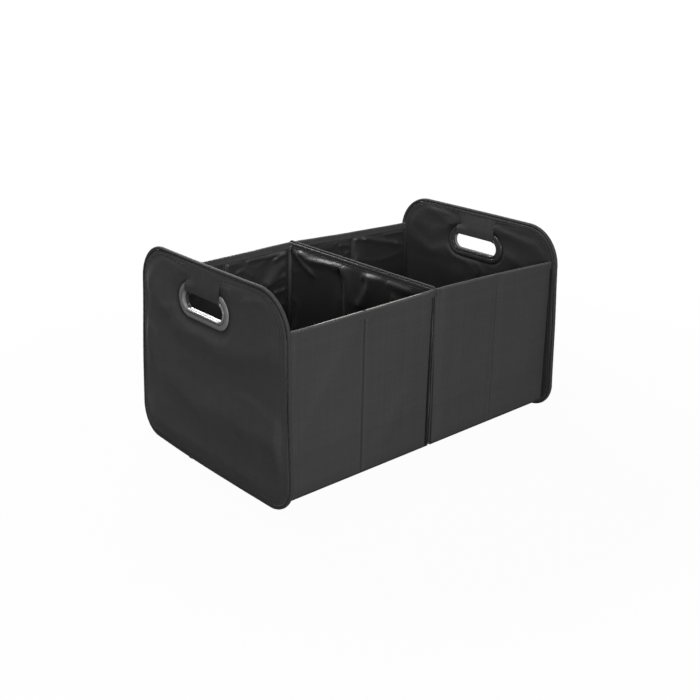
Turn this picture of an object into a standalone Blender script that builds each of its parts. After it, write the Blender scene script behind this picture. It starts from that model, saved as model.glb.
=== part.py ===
"""Folding car organizer: two open cloth compartments side by side.

Stiff boards are sewn into cloth walls. Each half folds flat against the divider: its front and back walls
are hinged at their middles and swing inwards, and its end panel follows them. Metres, +Z up. The origin is
on the ground under the middle of the divider, +X runs along the length and -Y is the front.
"""
import math

import bmesh
import bpy
from mathutils import Matrix, Vector

# Overall sizes
LENGTH = 0.500              # between the middles of the two end boards, at their sides
PANEL_WIDTH_TOP = 0.323     # end panel, over the piping, where the upper corners start
PANEL_WIDTH_FOOT = 0.337    # end panel, over the piping, where the lower corners start
PANEL_HEIGHT = 0.280
PANEL_TOP_RADIUS = 0.057
PANEL_FOOT_RADIUS = 0.040
PANEL_BOW = 0.004           # how far an end panel's middle stands out past its sides
WALL_OUTER_Y = 0.1527       # outer face of the front and back walls
WALL_FOOT_Z = 0.0155
RIM_BELOW_TOP_AT_DIVIDER = 0.0425   # from the end panel's top down to the walls' upper edge
RIM_BELOW_TOP_AT_END = 0.0480
DIVIDER_WIDTH = 0.309       # over the piping
DIVIDER_FOOT_Z = 0.009
DIVIDER_ABOVE_RIM = 0.0030
DIVIDER_TOP_RADIUS = 0.007
DIVIDER_FOOT_RADIUS = 0.016

# Layers of the sewn panels
GAP = 0.0003                # left between two layers that lie on each other
END_BOARD = 0.0020
END_COVER = 0.0008
END_LINING = 0.0006
WALL_BOARD = 0.0016
WALL_COVER = 0.0007
WALL_LINING = 0.0005
HEM_CLOTH = 0.0005
HEM_OUTSIDE = 0.010         # how far the hem reaches down the outer face
HEM_INSIDE = 0.010          # how far the hem reaches down the inner face
DIVIDER_BOARD = 0.0016
DIVIDER_CLOTH = 0.0007
PIPING_ACROSS = 0.0050      # end panel's piping, through the panel's thickness
PIPING_RADIAL = 0.0046      # end panel's piping, from its outer edge inwards
PIPING_CHAMFER = 0.0012
DIVIDER_PIPING_ACROSS = 0.0032
DIVIDER_PIPING_RADIAL = 0.0030
DIVIDER_PIPING_CHAMFER = 0.0008

# Hinges in the cloth
HINGE_AT_DIVIDER_X = 0.0040     # from the divider's middle plane to the inner walls' hinge
END_HINGE_GAP = 0.0021          # from the outer walls' hinge to the end lining
MIDDLE_HINGE_OUT = 0.0012       # how far the middle hinge lies outside the walls' outer faces
MIDDLE_SEAM = 0.0010            # width of the seam between two hinged walls
OUTER_WALL_END_PLAY = 0.0002
INNER_WALL_END_PLAY = 0.0014    # the open channel beside the divider's piping
BOARD_SHORT_OF_BODY = 0.0060    # from a wall's sewn end, at the divider or an end panel, to its board
BOARD_SHORT_OF_SEAM = 0.0025    # from the middle seam's edge to the boards on both sides of it

# Oval handles
HANDLE_BELOW_TOP = 0.055    # from the end panel's top down to the handle's middle
LEFT_HANDLE_SHIFT = 0.006   # along Y, as sewn
RIGHT_HANDLE_SHIFT = 0.0
OPENING_HALF_STRAIGHT = 0.0320
OPENING_RADIUS = 0.0120
BARREL_WALL = 0.0015
FLANGE_RADIUS = 0.0230
FLANGE_THICKNESS = 0.0022
FLANGE_ROUNDING = 0.0010
HOLE_CLEARANCE = 0.0013
SNAP_GAP = 0.0003           # between the barrel and the inner ring that holds it
WRAP_WIDTH = 0.076
WRAP_CLOTH = 0.0008
WRAP_LAP = 0.001            # how far below the flange's upper edge the wrap lies on it
WRAP_SEAM = 0.005           # height of the sewn strip at the wrap's upper ends
WRAP_SLOPE = 0.020          # height over which the wrap leaves the panel to cross the flange

# Sewn cloth bottom
BOTTOM_CLOTH = 0.0009
BOTTOM_SIDE_GAP = 0.0004
BOTTOM_DIVIDER_GAP = 0.0010
BOTTOM_SLOPE = 0.045        # width of the slope from the walls' foot down to the ground

# Fineness
CORNER_STEPS = 7
PANEL_COLUMNS = 10
OVAL_STEPS = 9
WRAP_END_STEPS = 3
BOTTOM_STEPS = 14

# Sizes worked out from those above
HALF_LENGTH = LENGTH / 2
RIM_Z_AT_DIVIDER = PANEL_HEIGHT - RIM_BELOW_TOP_AT_DIVIDER
RIM_Z_AT_END = PANEL_HEIGHT - RIM_BELOW_TOP_AT_END
DIVIDER_TOP_Z = RIM_Z_AT_DIVIDER + DIVIDER_ABOVE_RIM
HANDLE_Z = PANEL_HEIGHT - HANDLE_BELOW_TOP
HANDLE_SHIFT = {"left": LEFT_HANDLE_SHIFT, "right": RIGHT_HANDLE_SHIFT}
WRAP_SLOPE_Z = HANDLE_Z + FLANGE_RADIUS - WRAP_LAP
WRAP_SEAM_Z = WRAP_SLOPE_Z + WRAP_SLOPE
WRAP_TOP_Z = WRAP_SEAM_Z + WRAP_SEAM
WALL_THICKNESS = WALL_COVER + GAP + WALL_BOARD + GAP + WALL_LINING
WALL_INNER_Y = WALL_OUTER_Y - WALL_THICKNESS
END_LINING_FACE = END_BOARD / 2 + GAP + END_LINING
END_COVER_FACE = END_BOARD / 2 + GAP + END_COVER
END_HINGE_X = HALF_LENGTH - END_LINING_FACE - END_HINGE_GAP
MIDDLE_HINGE_X = (HINGE_AT_DIVIDER_X + END_HINGE_X) / 2
MIDDLE_HINGE_Y = WALL_OUTER_Y + MIDDLE_HINGE_OUT

COLOURS = {
    "outer_cloth": ((0.040, 0.040, 0.041), 0.85),
    "lining_cloth": ((0.028, 0.028, 0.029), 0.42),
    "piping_cloth": ((0.045, 0.045, 0.046), 0.70),
    "stiff_board": ((0.20, 0.20, 0.19), 0.60),
    "handle_plastic": ((0.16, 0.16, 0.16), 0.30),
}

SIDES = {"left": -1.0, "right": 1.0}
FACES = {"front": -1.0, "back": 1.0}


def clear_scene():
    for old in list(bpy.data.objects):
        bpy.data.objects.remove(old, do_unlink=True)


def make_collection(name):
    collection = bpy.data.collections.new(name)
    bpy.context.scene.collection.children.link(collection)
    return collection


def make_materials():
    materials = {}
    for name, (colour, roughness) in COLOURS.items():
        material = bpy.data.materials.new(name)
        material.use_nodes = True
        shader = material.node_tree.nodes["Principled BSDF"]
        shader.inputs["Base Color"].default_value = (*colour, 1.0)
        shader.inputs["Roughness"].default_value = roughness
        shader.inputs["Metallic"].default_value = 0.0
        materials[name] = material
    return materials


class Maker:
    """Makes named objects, each in its collection and under the empty of the body that it moves with."""

    def __init__(self):
        self.parts = make_collection("folding_car_organizer")
        self.cutters = make_collection("cutters")
        self.materials = make_materials()

    def pivot(self, name, x, y, parent=None):
        """An empty on the upright axis through x, y."""
        empty = bpy.data.objects.new(name, None)
        empty.empty_display_size = 0.02
        self.parts.objects.link(empty)
        empty.matrix_world = Matrix.Translation((x, y, 0.0))
        if parent:
            empty.parent = parent
            empty.matrix_parent_inverse = Matrix.Translation(parent.matrix_world.translation).inverted()
            empty.matrix_world = Matrix.Translation((x, y, 0.0))
        return empty

    def add(self, name, mesh_tools, material, body, smooth=False):
        """Turn a finished bmesh, given in world places, into a part whose origin is its body's pivot."""
        place = body["place"]
        bmesh.ops.translate(mesh_tools, verts=mesh_tools.verts, vec=(-place[0], -place[1], 0.0))
        mesh = bpy.data.meshes.new(name)
        bmesh.ops.recalc_face_normals(mesh_tools, faces=mesh_tools.faces)
        mesh_tools.to_mesh(mesh)
        mesh_tools.free()
        mesh.materials.append(self.materials[material])
        if smooth:
            mesh.shade_smooth()
            mesh.set_sharp_from_angle(angle=math.radians(40))
        part = bpy.data.objects.new(name, mesh)
        self.parts.objects.link(part)
        part.parent = body["empty"]
        return part

    def add_cutter(self, name, mesh_tools):
        mesh = bpy.data.meshes.new(name)
        bmesh.ops.recalc_face_normals(mesh_tools, faces=mesh_tools.faces)
        mesh_tools.to_mesh(mesh)
        mesh_tools.free()
        cutter = bpy.data.objects.new(name, mesh)
        cutter.hide_render = True
        cutter.display_type = "WIRE"
        self.cutters.objects.link(cutter)
        return cutter


def new_body(maker, name, x=0.0, y=0.0, parent=None):
    """A body of the mechanism: its pivot's place and the empty that its parts hang on."""
    empty = maker.pivot(name + "_pivot", x, y, parent["empty"] if parent else None)
    return {"name": name, "place": (x, y), "empty": empty}


def add_thickness(part, thickness, towards_normal):
    """Thicken an open sheet on the side that its normals point to, or on the other."""
    modifier = part.modifiers.new("thickness", "SOLIDIFY")
    modifier.thickness = thickness
    modifier.offset = 1.0 if towards_normal else -1.0
    modifier.use_even_offset = True


def add_cut(part, cutter):
    modifier = part.modifiers.new("cut", "BOOLEAN")
    modifier.operation = "DIFFERENCE"
    modifier.solver = "EXACT"
    modifier.object = cutter


def rim_z(x):
    """Height of the wall's upper edge, which rises a little from the end panel to the divider."""
    share = (abs(x) - HINGE_AT_DIVIDER_X) / (END_HINGE_X - HINGE_AT_DIVIDER_X)
    return RIM_Z_AT_DIVIDER + (RIM_Z_AT_END - RIM_Z_AT_DIVIDER) * share


def bow_at(y):
    """How far an end panel stands out at y, a parabola across its width."""
    half = PANEL_WIDTH_FOOT / 2
    return PANEL_BOW * max(0.0, 1.0 - (y / half) ** 2)


def corner_loss(distance, radius):
    """How much a round corner narrows the half width at this distance from the panel's edge."""
    if distance >= radius:
        return 0.0
    return radius - math.sqrt(max(0.0, radius ** 2 - (radius - distance) ** 2))


class Outline:
    """A panel's outline: sides that may lean, and round upper and lower corners."""

    def __init__(self, top_half, foot_half, top_z, foot_z, top_radius, foot_radius):
        self.top_half = top_half
        self.foot_half = foot_half
        self.top_z = top_z
        self.foot_z = foot_z
        self.top_radius = top_radius
        self.foot_radius = foot_radius

    def inset(self, amount):
        return Outline(self.top_half - amount, self.foot_half - amount, self.top_z - amount,
                       self.foot_z + amount, self.top_radius - amount, self.foot_radius - amount)

    def half_width(self, z):
        low = self.foot_z + self.foot_radius
        high = self.top_z - self.top_radius
        share = (z - low) / (high - low)
        side = self.foot_half + (self.top_half - self.foot_half) * share
        side -= corner_loss(self.top_z - z, self.top_radius)
        return side - corner_loss(z - self.foot_z, self.foot_radius)

    def levels(self):
        """Heights of the rows, from the foot up, close together where a corner turns."""
        turns = [math.pi / 2 * step / CORNER_STEPS for step in range(CORNER_STEPS + 1)]
        low = [self.foot_z + self.foot_radius * (1 - math.cos(turn)) for turn in turns]
        high = [self.top_z - self.top_radius * (1 - math.cos(turn)) for turn in reversed(turns)]
        middle = (low[-1] + high[0]) / 2
        return low + [middle] + high

    def path(self):
        """The outline as one closed run of (y, z) points, with extra points along the straight edges."""
        levels = self.levels()
        right = [(self.half_width(z), z) for z in levels]
        left = [(-y, z) for y, z in reversed(right)]
        steps = range(1, PANEL_COLUMNS)
        top = [(right[-1][0] * (1 - 2 * step / PANEL_COLUMNS), self.top_z) for step in steps]
        foot = [(right[0][0] * (2 * step / PANEL_COLUMNS - 1), self.foot_z) for step in steps]
        return right + top + left + foot


END_OUTLINE = Outline(PANEL_WIDTH_TOP / 2, PANEL_WIDTH_FOOT / 2, PANEL_HEIGHT, 0.0,
                      PANEL_TOP_RADIUS, PANEL_FOOT_RADIUS)
DIVIDER_OUTLINE = Outline(DIVIDER_WIDTH / 2, DIVIDER_WIDTH / 2, DIVIDER_TOP_Z, DIVIDER_FOOT_Z,
                          DIVIDER_TOP_RADIUS, DIVIDER_FOOT_RADIUS)


def panel_sheet(outline, face_x, side, bowed):
    """An open sheet that fills an outline, standing at face_x, with its front towards side."""
    levels = outline.levels()
    rows = len(levels) - 1
    tools = bmesh.new()
    bmesh.ops.create_grid(tools, x_segments=PANEL_COLUMNS, y_segments=rows, size=1.0)
    for vert in tools.verts:
        z = levels[round((vert.co.y + 1) / 2 * rows)]
        y = vert.co.x * outline.half_width(z)
        bow = bow_at(y) if bowed else 0.0
        vert.co = Vector((face_x + side * bow, y, z))
    return tools


def add_panel_layer(maker, name, outline, near_x, thickness, side, material, body, bowed):
    """One layer of an end panel or of the divider, from near_x outwards by its thickness."""
    tools = panel_sheet(outline, near_x, side, bowed)
    part = maker.add(name, tools, material, body)
    add_thickness(part, thickness, part.data.polygons[0].normal.x * side > 0)
    return part


def section_box(across, radial, chamfer):
    """The piping's section: a box with cut corners, its outer side at 0 and its inner side at -radial."""
    half = across / 2
    return [(0.0, half - chamfer), (-chamfer, half), (-radial + chamfer, half), (-radial, half - chamfer),
            (-radial, -half + chamfer), (-radial + chamfer, -half), (-chamfer, -half), (0.0, -half + chamfer)]


def closed_curve(name, points):
    curve = bpy.data.curves.new(name, "CURVE")
    curve.dimensions = "2D"
    spline = curve.splines.new("POLY")
    spline.points.add(len(points) - 1)
    for point, (a, b) in zip(spline.points, points):
        point.co = (a, b, 0.0, 1.0)
    spline.use_cyclic_u = True
    return curve


def swept_ring(path, section):
    """Carry a closed section of (outwards, sideways) points along a closed path in the YZ plane.

    The result stands in the plane x = 0, and sideways becomes +X. The path runs anticlockwise, so that a
    bevel's own x points inwards, and outwards is its negative.
    """
    path_curve = closed_curve("path", path)
    section_curve = closed_curve("section", [(-outwards, sideways) for outwards, sideways in section])
    guide = bpy.data.objects.new("path", path_curve)
    profile = bpy.data.objects.new("section", section_curve)
    bpy.context.scene.collection.objects.link(guide)
    bpy.context.scene.collection.objects.link(profile)
    path_curve.bevel_mode = "OBJECT"
    path_curve.bevel_object = profile
    path_curve.fill_mode = "NONE"
    bpy.context.view_layer.update()
    evaluated = guide.evaluated_get(bpy.context.evaluated_depsgraph_get())
    mesh = bpy.data.meshes.new_from_object(evaluated)
    tools = bmesh.new()
    tools.from_mesh(mesh)
    bmesh.ops.remove_doubles(tools, verts=tools.verts, dist=0.00001)
    for vert in tools.verts:
        vert.co = Vector((vert.co.z, vert.co.x, vert.co.y))
    bpy.data.objects.remove(guide, do_unlink=True)
    bpy.data.objects.remove(profile, do_unlink=True)
    bpy.data.curves.remove(path_curve)
    bpy.data.curves.remove(section_curve)
    bpy.data.meshes.remove(mesh)
    return tools


def oval_path(radius):
    """A stadium round the handle's middle: two half circles joined by straight runs."""
    points = []
    for end, start in ((1, -90), (-1, 90)):
        for step in range(OVAL_STEPS + 1):
            turn = math.radians(start + 180 * step / OVAL_STEPS)
            points.append((end * OPENING_HALF_STRAIGHT + radius * math.cos(turn), radius * math.sin(turn)))
    return points


def oval_cutter(maker, name, centre_x, centre_y):
    """A prism through the end panel's layers where the handle's barrel passes."""
    outline = closed_curve(name, oval_path(OPENING_RADIUS + BARREL_WALL + HOLE_CLEARANCE))
    outline.fill_mode = "BOTH"
    outline.extrude = 0.02
    source = bpy.data.objects.new(name, outline)
    bpy.context.scene.collection.objects.link(source)
    bpy.context.view_layer.update()
    mesh = bpy.data.meshes.new_from_object(source.evaluated_get(bpy.context.evaluated_depsgraph_get()))
    tools = bmesh.new()
    tools.from_mesh(mesh)
    bmesh.ops.remove_doubles(tools, verts=tools.verts, dist=0.00001)
    for vert in tools.verts:
        vert.co = Vector((centre_x + vert.co.z, centre_y + vert.co.x, HANDLE_Z + vert.co.y))
    bpy.data.objects.remove(source, do_unlink=True)
    bpy.data.curves.remove(outline)
    bpy.data.meshes.remove(mesh)
    return maker.add_cutter(name, tools)


def add_wall_slab(maker, name, x_range, y_range, drop, material, body, side):
    """An upright slab between two x places, whose upper edge follows the rim, drop below it."""
    tools = bmesh.new()
    bmesh.ops.create_cube(tools, size=2.0)
    for vert in tools.verts:
        x = side * (x_range[0] if vert.co.x < 0 else x_range[1])
        y = y_range[0] if vert.co.y < 0 else y_range[1]
        z = WALL_FOOT_Z if vert.co.z < 0 else rim_z(x) - drop
        vert.co = Vector((x, y, z))
    return maker.add(name, tools, material, body)


def add_hem(maker, name, x_range, face, body, side):
    """The strip of cloth folded over the wall's upper edge, as a sheet thickened outwards."""
    outer = WALL_OUTER_Y + GAP
    inner = WALL_INNER_Y - GAP
    profile = [(outer, -HEM_OUTSIDE), (outer, 0.0), (inner, 0.0), (inner, -HEM_INSIDE)]
    tools = bmesh.new()
    bmesh.ops.create_grid(tools, x_segments=1, y_segments=len(profile) - 1, size=1.0)
    for vert in tools.verts:
        x = side * (x_range[0] if vert.co.x < 0 else x_range[1])
        y, below = profile[round((vert.co.y + 1) / 2 * (len(profile) - 1))]
        vert.co = Vector((x, face * y, rim_z(x) - HEM_CLOTH + below))
    part = maker.add(name, tools, "outer_cloth", body)
    top = max(part.data.polygons, key=lambda polygon: polygon.center.z)
    add_thickness(part, HEM_CLOTH, top.normal.z > 0)


def add_wall(maker, name, x_range, board_range, face, body, side):
    """One stiffened wall: lining, board and cover, with the hem over its upper edge."""
    drop = HEM_CLOTH + GAP
    layers = (("lining", x_range, WALL_INNER_Y, WALL_LINING, "lining_cloth"),
              ("board", board_range, WALL_INNER_Y + WALL_LINING + GAP, WALL_BOARD, "stiff_board"),
              ("cover", x_range, WALL_OUTER_Y - WALL_COVER, WALL_COVER, "outer_cloth"))
    for layer, reach, start, thickness, material in layers:
        y_range = (face * start, face * (start + thickness))
        add_wall_slab(maker, name + "_" + layer, reach, y_range, drop, material, body, side)
    add_hem(maker, name + "_hem", x_range, face, body, side)


def add_divider(maker, body):
    inner = DIVIDER_OUTLINE.inset(DIVIDER_PIPING_RADIAL + GAP)
    add_panel_layer(maker, "divider_board", inner, -DIVIDER_BOARD / 2, DIVIDER_BOARD, 1.0, "stiff_board",
                    body, False)
    for side_name, side in SIDES.items():
        start = side * (DIVIDER_BOARD / 2 + GAP)
        add_panel_layer(maker, "divider_" + side_name + "_cloth", inner, start, DIVIDER_CLOTH, side,
                        "lining_cloth", body, False)
    section = section_box(DIVIDER_PIPING_ACROSS, DIVIDER_PIPING_RADIAL, DIVIDER_PIPING_CHAMFER)
    maker.add("divider_piping", swept_ring(DIVIDER_OUTLINE.path(), section), "piping_cloth", body, True)


def add_bottom(maker, name, side, body):
    """The sewn cloth bottom of one half: held at the walls' foot, lying on the ground in its middle."""
    start = DIVIDER_PIPING_ACROSS / 2 + BOTTOM_DIVIDER_GAP
    reach_y = WALL_OUTER_Y
    edge_z = WALL_FOOT_Z - GAP
    tools = bmesh.new()
    bmesh.ops.create_grid(tools, x_segments=BOTTOM_STEPS, y_segments=BOTTOM_STEPS, size=1.0)
    for vert in tools.verts:
        y = vert.co.y * reach_y
        stop = HALF_LENGTH - END_LINING_FACE - BOTTOM_SIDE_GAP + bow_at(y)
        x = start + (stop - start) * (vert.co.x + 1) / 2
        inwards = min(x - start, stop - x, reach_y - abs(y)) / BOTTOM_SLOPE
        share = min(1.0, max(0.0, inwards))
        fall = share * share * (3 - 2 * share)
        vert.co = Vector((side * x, y, edge_z - (edge_z - BOTTOM_CLOTH) * fall))
    part = maker.add(name, tools, "lining_cloth", body)
    add_thickness(part, BOTTOM_CLOTH, part.data.polygons[0].normal.z < 0)


def add_end_layers(maker, name, side, body, cutter):
    """Board, outer cover and lining of one end panel, each with the handle's hole."""
    outline = END_OUTLINE.inset(PIPING_RADIAL + GAP)
    middle = side * HALF_LENGTH
    layers = (("board", middle - side * END_BOARD / 2, END_BOARD, "stiff_board"),
              ("cover", middle + side * (END_COVER_FACE - END_COVER), END_COVER, "outer_cloth"),
              ("lining", middle - side * END_LINING_FACE, END_LINING, "lining_cloth"))
    for layer, start, thickness, material in layers:
        part = add_panel_layer(maker, name + "_" + layer, outline, start, thickness, side, material, body, True)
        add_cut(part, cutter)


def add_end_piping(maker, name, side, body):
    section = section_box(PIPING_ACROSS, PIPING_RADIAL, PIPING_CHAMFER)
    tools = swept_ring(END_OUTLINE.path(), section)
    for vert in tools.verts:
        vert.co.x += side * (HALF_LENGTH + bow_at(vert.co.y))
    maker.add(name + "_piping", tools, "piping_cloth", body, True)


def handle_planes(side_name):
    """Places along the outward direction, from the end board's middle: both flanges' backs and faces."""
    shift = HANDLE_SHIFT[side_name]
    reach = OPENING_HALF_STRAIGHT + FLANGE_RADIUS
    lowest_bow = min(bow_at(shift - reach), bow_at(shift + reach))
    outer_back = END_COVER_FACE + bow_at(shift) + GAP
    inner_back = -END_LINING_FACE + lowest_bow - GAP
    return {"outer_back": outer_back, "outer_face": outer_back + FLANGE_THICKNESS,
            "inner_back": inner_back, "inner_face": inner_back - FLANGE_THICKNESS}


def place_oval(tools, side, shift):
    """Stand a swept oval at the end panel, with its sideways direction turned outwards."""
    for vert in tools.verts:
        vert.co = Vector((side * (HALF_LENGTH + vert.co.x), vert.co.y + shift, vert.co.z + HANDLE_Z))


def add_handle(maker, name, side_name, side, body):
    """The oval handle: an outer ring with its barrel, and the inner ring that snaps onto it."""
    planes = handle_planes(side_name)
    width = FLANGE_RADIUS - OPENING_RADIUS
    face = planes["outer_face"]
    back = planes["outer_back"]
    barrel_end = planes["inner_face"] + FLANGE_ROUNDING
    outer_section = [(0.0, barrel_end), (0.0, face - FLANGE_ROUNDING), (FLANGE_ROUNDING, face),
                     (width - FLANGE_ROUNDING, face), (width, face - FLANGE_ROUNDING), (width, back),
                     (BARREL_WALL, back), (BARREL_WALL, barrel_end)]
    ring = swept_ring(oval_path(OPENING_RADIUS), outer_section)
    place_oval(ring, side, HANDLE_SHIFT[side_name])
    maker.add(name + "_handle_outer_ring", ring, "handle_plastic", body, True)

    inside = BARREL_WALL + SNAP_GAP
    face = planes["inner_face"]
    back = planes["inner_back"]
    inner_section = [(inside, back), (inside, face + FLANGE_ROUNDING / 2), (inside + FLANGE_ROUNDING / 2, face),
                     (width - FLANGE_ROUNDING, face), (width, face + FLANGE_ROUNDING), (width, back)]
    ring = swept_ring(oval_path(OPENING_RADIUS), inner_section)
    place_oval(ring, side, HANDLE_SHIFT[side_name])
    maker.add(name + "_handle_inner_ring", ring, "handle_plastic", body, True)


def wrap_profile(side_name):
    """The wrap's run in (outwards, z), on the side that faces the ring and the panel.

    It is sewn to the cover above the handle, crosses the outer flange, turns under the barrel's upper side
    and climbs again on the inside.
    """
    planes = handle_planes(side_name)
    shift = HANDLE_SHIFT[side_name]
    edge_bow = min(bow_at(shift - WRAP_WIDTH / 2), bow_at(shift + WRAP_WIDTH / 2))
    outer_rest = END_COVER_FACE + GAP
    inner_rest = -END_LINING_FACE - GAP
    over_outer = planes["outer_face"] + GAP - edge_bow
    over_inner = planes["inner_face"] - GAP - bow_at(shift)
    bend_z = HANDLE_Z + OPENING_RADIUS - GAP
    corner = FLANGE_ROUNDING
    return [(outer_rest, WRAP_TOP_Z), (outer_rest, WRAP_SEAM_Z), (over_outer, WRAP_SLOPE_Z),
            (over_outer, bend_z + corner), (over_outer - corner, bend_z),
            (over_inner + corner, bend_z), (over_inner, bend_z + corner),
            (over_inner, WRAP_SLOPE_Z), (inner_rest, WRAP_SEAM_Z), (inner_rest, WRAP_TOP_Z)]


def opening_fall(y):
    """How far the opening's upper edge has come down at y from the handle's middle, round its end."""
    past = max(0.0, abs(y) - OPENING_HALF_STRAIGHT)
    return OPENING_RADIUS - math.sqrt(OPENING_RADIUS ** 2 - past ** 2)


def add_wrap(maker, name, side_name, side, body):
    """The strip of cloth round the handle's upper bar, as a sheet thickened away from the bar."""
    profile = wrap_profile(side_name)
    rows = len(profile) - 1
    half = WRAP_WIDTH / 2
    ends = [OPENING_HALF_STRAIGHT + (half - OPENING_HALF_STRAIGHT) * step / WRAP_END_STEPS
            for step in range(WRAP_END_STEPS + 1)]
    places = [-y for y in reversed(ends)] + [0.0] + ends
    columns = len(places) - 1
    tools = bmesh.new()
    bmesh.ops.create_grid(tools, x_segments=columns, y_segments=rows, size=1.0)
    for vert in tools.verts:
        outwards, z = profile[round((vert.co.y + 1) / 2 * rows)]
        along = places[round((vert.co.x + 1) / 2 * columns)]
        y = HANDLE_SHIFT[side_name] + along
        if z < HANDLE_Z + FLANGE_RADIUS:
            z -= opening_fall(along)
        vert.co = Vector((side * (HALF_LENGTH + outwards + bow_at(y)), y, z))
    part = maker.add(name + "_handle_wrap", tools, "outer_cloth", body)
    lowest = min(part.data.polygons, key=lambda polygon: polygon.center.z)
    add_thickness(part, WRAP_CLOTH, lowest.normal.z < 0)


def add_end_panel(maker, side_name, side, body):
    name = side_name + "_end"
    middle = side * (HALF_LENGTH + PANEL_BOW)
    cutter = oval_cutter(maker, name + "_handle_hole", middle, HANDLE_SHIFT[side_name])
    add_end_layers(maker, name, side, body, cutter)
    add_end_piping(maker, name, side, body)
    add_handle(maker, name, side_name, side, body)
    add_wrap(maker, name, side_name, side, body)


def add_half(maker, side_name, side, root):
    """One compartment: its hinged front and back walls, and the end panel on the front walls' chain."""
    inner_range = (HINGE_AT_DIVIDER_X + INNER_WALL_END_PLAY, MIDDLE_HINGE_X - MIDDLE_SEAM / 2)
    inner_board = (inner_range[0] + BOARD_SHORT_OF_BODY, inner_range[1] - BOARD_SHORT_OF_SEAM)
    outer_range = (MIDDLE_HINGE_X + MIDDLE_SEAM / 2, END_HINGE_X - OUTER_WALL_END_PLAY)
    outer_board = (outer_range[0] + BOARD_SHORT_OF_SEAM, outer_range[1] - BOARD_SHORT_OF_BODY)
    front_outer = None
    for face_name, face in FACES.items():
        name = side_name + "_" + face_name
        inner = new_body(maker, name + "_inner", side * HINGE_AT_DIVIDER_X, face * WALL_INNER_Y, root)
        add_wall(maker, name + "_inner", inner_range, inner_board, face, inner, side)
        outer = new_body(maker, name + "_outer", side * MIDDLE_HINGE_X, face * MIDDLE_HINGE_Y, inner)
        add_wall(maker, name + "_outer", outer_range, outer_board, face, outer, side)
        if face_name == "front":
            front_outer = outer
    end = new_body(maker, side_name + "_end", side * END_HINGE_X, -WALL_INNER_Y, front_outer)
    add_end_panel(maker, side_name, side, end)
    add_bottom(maker, side_name + "_bottom", side, root)


def main():
    clear_scene()
    maker = Maker()
    root = new_body(maker, "divider")
    add_divider(maker, root)
    for side_name, side in SIDES.items():
        add_half(maker, side_name, side, root)
    bpy.context.view_layer.update()


main()
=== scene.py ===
# %% [markdown]
# A folding organizer of dark cloth: two open compartments, round-cornered end panels with oval handles.
# The stiff boards inside are already there as CAD solids. What we see on the real thing is cloth over
# them, so this lesson dresses the boards: covers, linings, hems, piping, handles and the sewn bottoms.
# The CAD model is loaded first, as a frame that stays as it is. Every piece is worked out in its metres.

import bpy
import numpy as np
from mathutils import Matrix, Vector


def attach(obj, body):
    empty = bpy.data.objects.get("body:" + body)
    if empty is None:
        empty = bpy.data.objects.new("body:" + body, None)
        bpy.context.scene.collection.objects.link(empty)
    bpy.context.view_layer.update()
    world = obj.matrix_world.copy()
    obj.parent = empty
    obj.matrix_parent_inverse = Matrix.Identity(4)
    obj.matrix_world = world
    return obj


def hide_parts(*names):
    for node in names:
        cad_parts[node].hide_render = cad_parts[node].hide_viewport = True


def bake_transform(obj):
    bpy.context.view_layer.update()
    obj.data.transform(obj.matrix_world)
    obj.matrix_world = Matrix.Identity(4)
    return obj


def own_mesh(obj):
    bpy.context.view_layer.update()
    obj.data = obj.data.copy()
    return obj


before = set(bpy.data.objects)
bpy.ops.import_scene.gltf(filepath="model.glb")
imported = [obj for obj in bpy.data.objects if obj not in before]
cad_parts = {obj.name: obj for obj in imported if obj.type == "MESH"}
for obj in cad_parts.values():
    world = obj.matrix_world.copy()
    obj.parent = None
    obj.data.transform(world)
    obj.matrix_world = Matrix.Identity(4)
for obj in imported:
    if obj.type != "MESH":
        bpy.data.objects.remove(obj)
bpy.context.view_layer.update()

# %% [markdown]
# The sizes of the sewing pattern, in metres, as the CAD has them. X runs along the length, Y from front
# (negative) to back, Z up, and the divider stands at 0.

# %% Sizes
SIDES = {"left": -1.0, "right": 1.0}
FACES = {"front": -1.0, "back": 1.0}
HALF_LENGTH = 0.250
PANEL_TOP_HALF = 0.1615
PANEL_FOOT_HALF = 0.1685
PANEL_HEIGHT = 0.280
PANEL_TOP_RADIUS = 0.057
PANEL_FOOT_RADIUS = 0.040
PANEL_BOW = 0.004
COVER_FACE = 0.0021
LINING_FACE = 0.0019
PIPING_RADIAL = 0.0046
PIPING_ACROSS = 0.0050
WALL_OUTER = 0.1527
WALL_INNER = 0.1493
WALL_FOOT = 0.0155
HINGE_X = 0.0040
WALL_START = 0.0054
WALL_END = 0.2458
FOLD_X = 0.1250
RIM_AT_DIVIDER = 0.2375
RIM_AT_END = 0.2320
DIVIDER_HALF = 0.1545
DIVIDER_TOP = 0.2405
DIVIDER_FOOT = 0.009
DIVIDER_FACE = 0.0018
DIVIDER_PIPING = 0.0030
END_HINGE_X = 0.2460
HANDLE_Z = 0.225
HANDLE_Y = {"left": 0.006, "right": 0.0}
HANDLE_STRAIGHT = 0.032
OPENING_RADIUS = 0.012
FLANGE_RADIUS = 0.023
FLANGE_THICK = 0.0022
GAP = 0.0003


def rim_z(x):
    """Height of the walls' upper edge: a straight line from the divider down to the end panel."""
    share = (np.abs(x) - HINGE_X) / (END_HINGE_X - HINGE_X)
    return RIM_AT_DIVIDER + (RIM_AT_END - RIM_AT_DIVIDER) * share


def bow(y):
    """How far an end panel stands out at y: a parabola, 4 mm in its middle and nothing at its sides."""
    return PANEL_BOW * np.clip(1 - (y / PANEL_FOOT_HALF) ** 2, 0, 1)


RIM_LIFT = {"left_front": -0.0015, "right_front": 0.0012, "left_back": -0.0007, "right_back": -0.0007}


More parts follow.
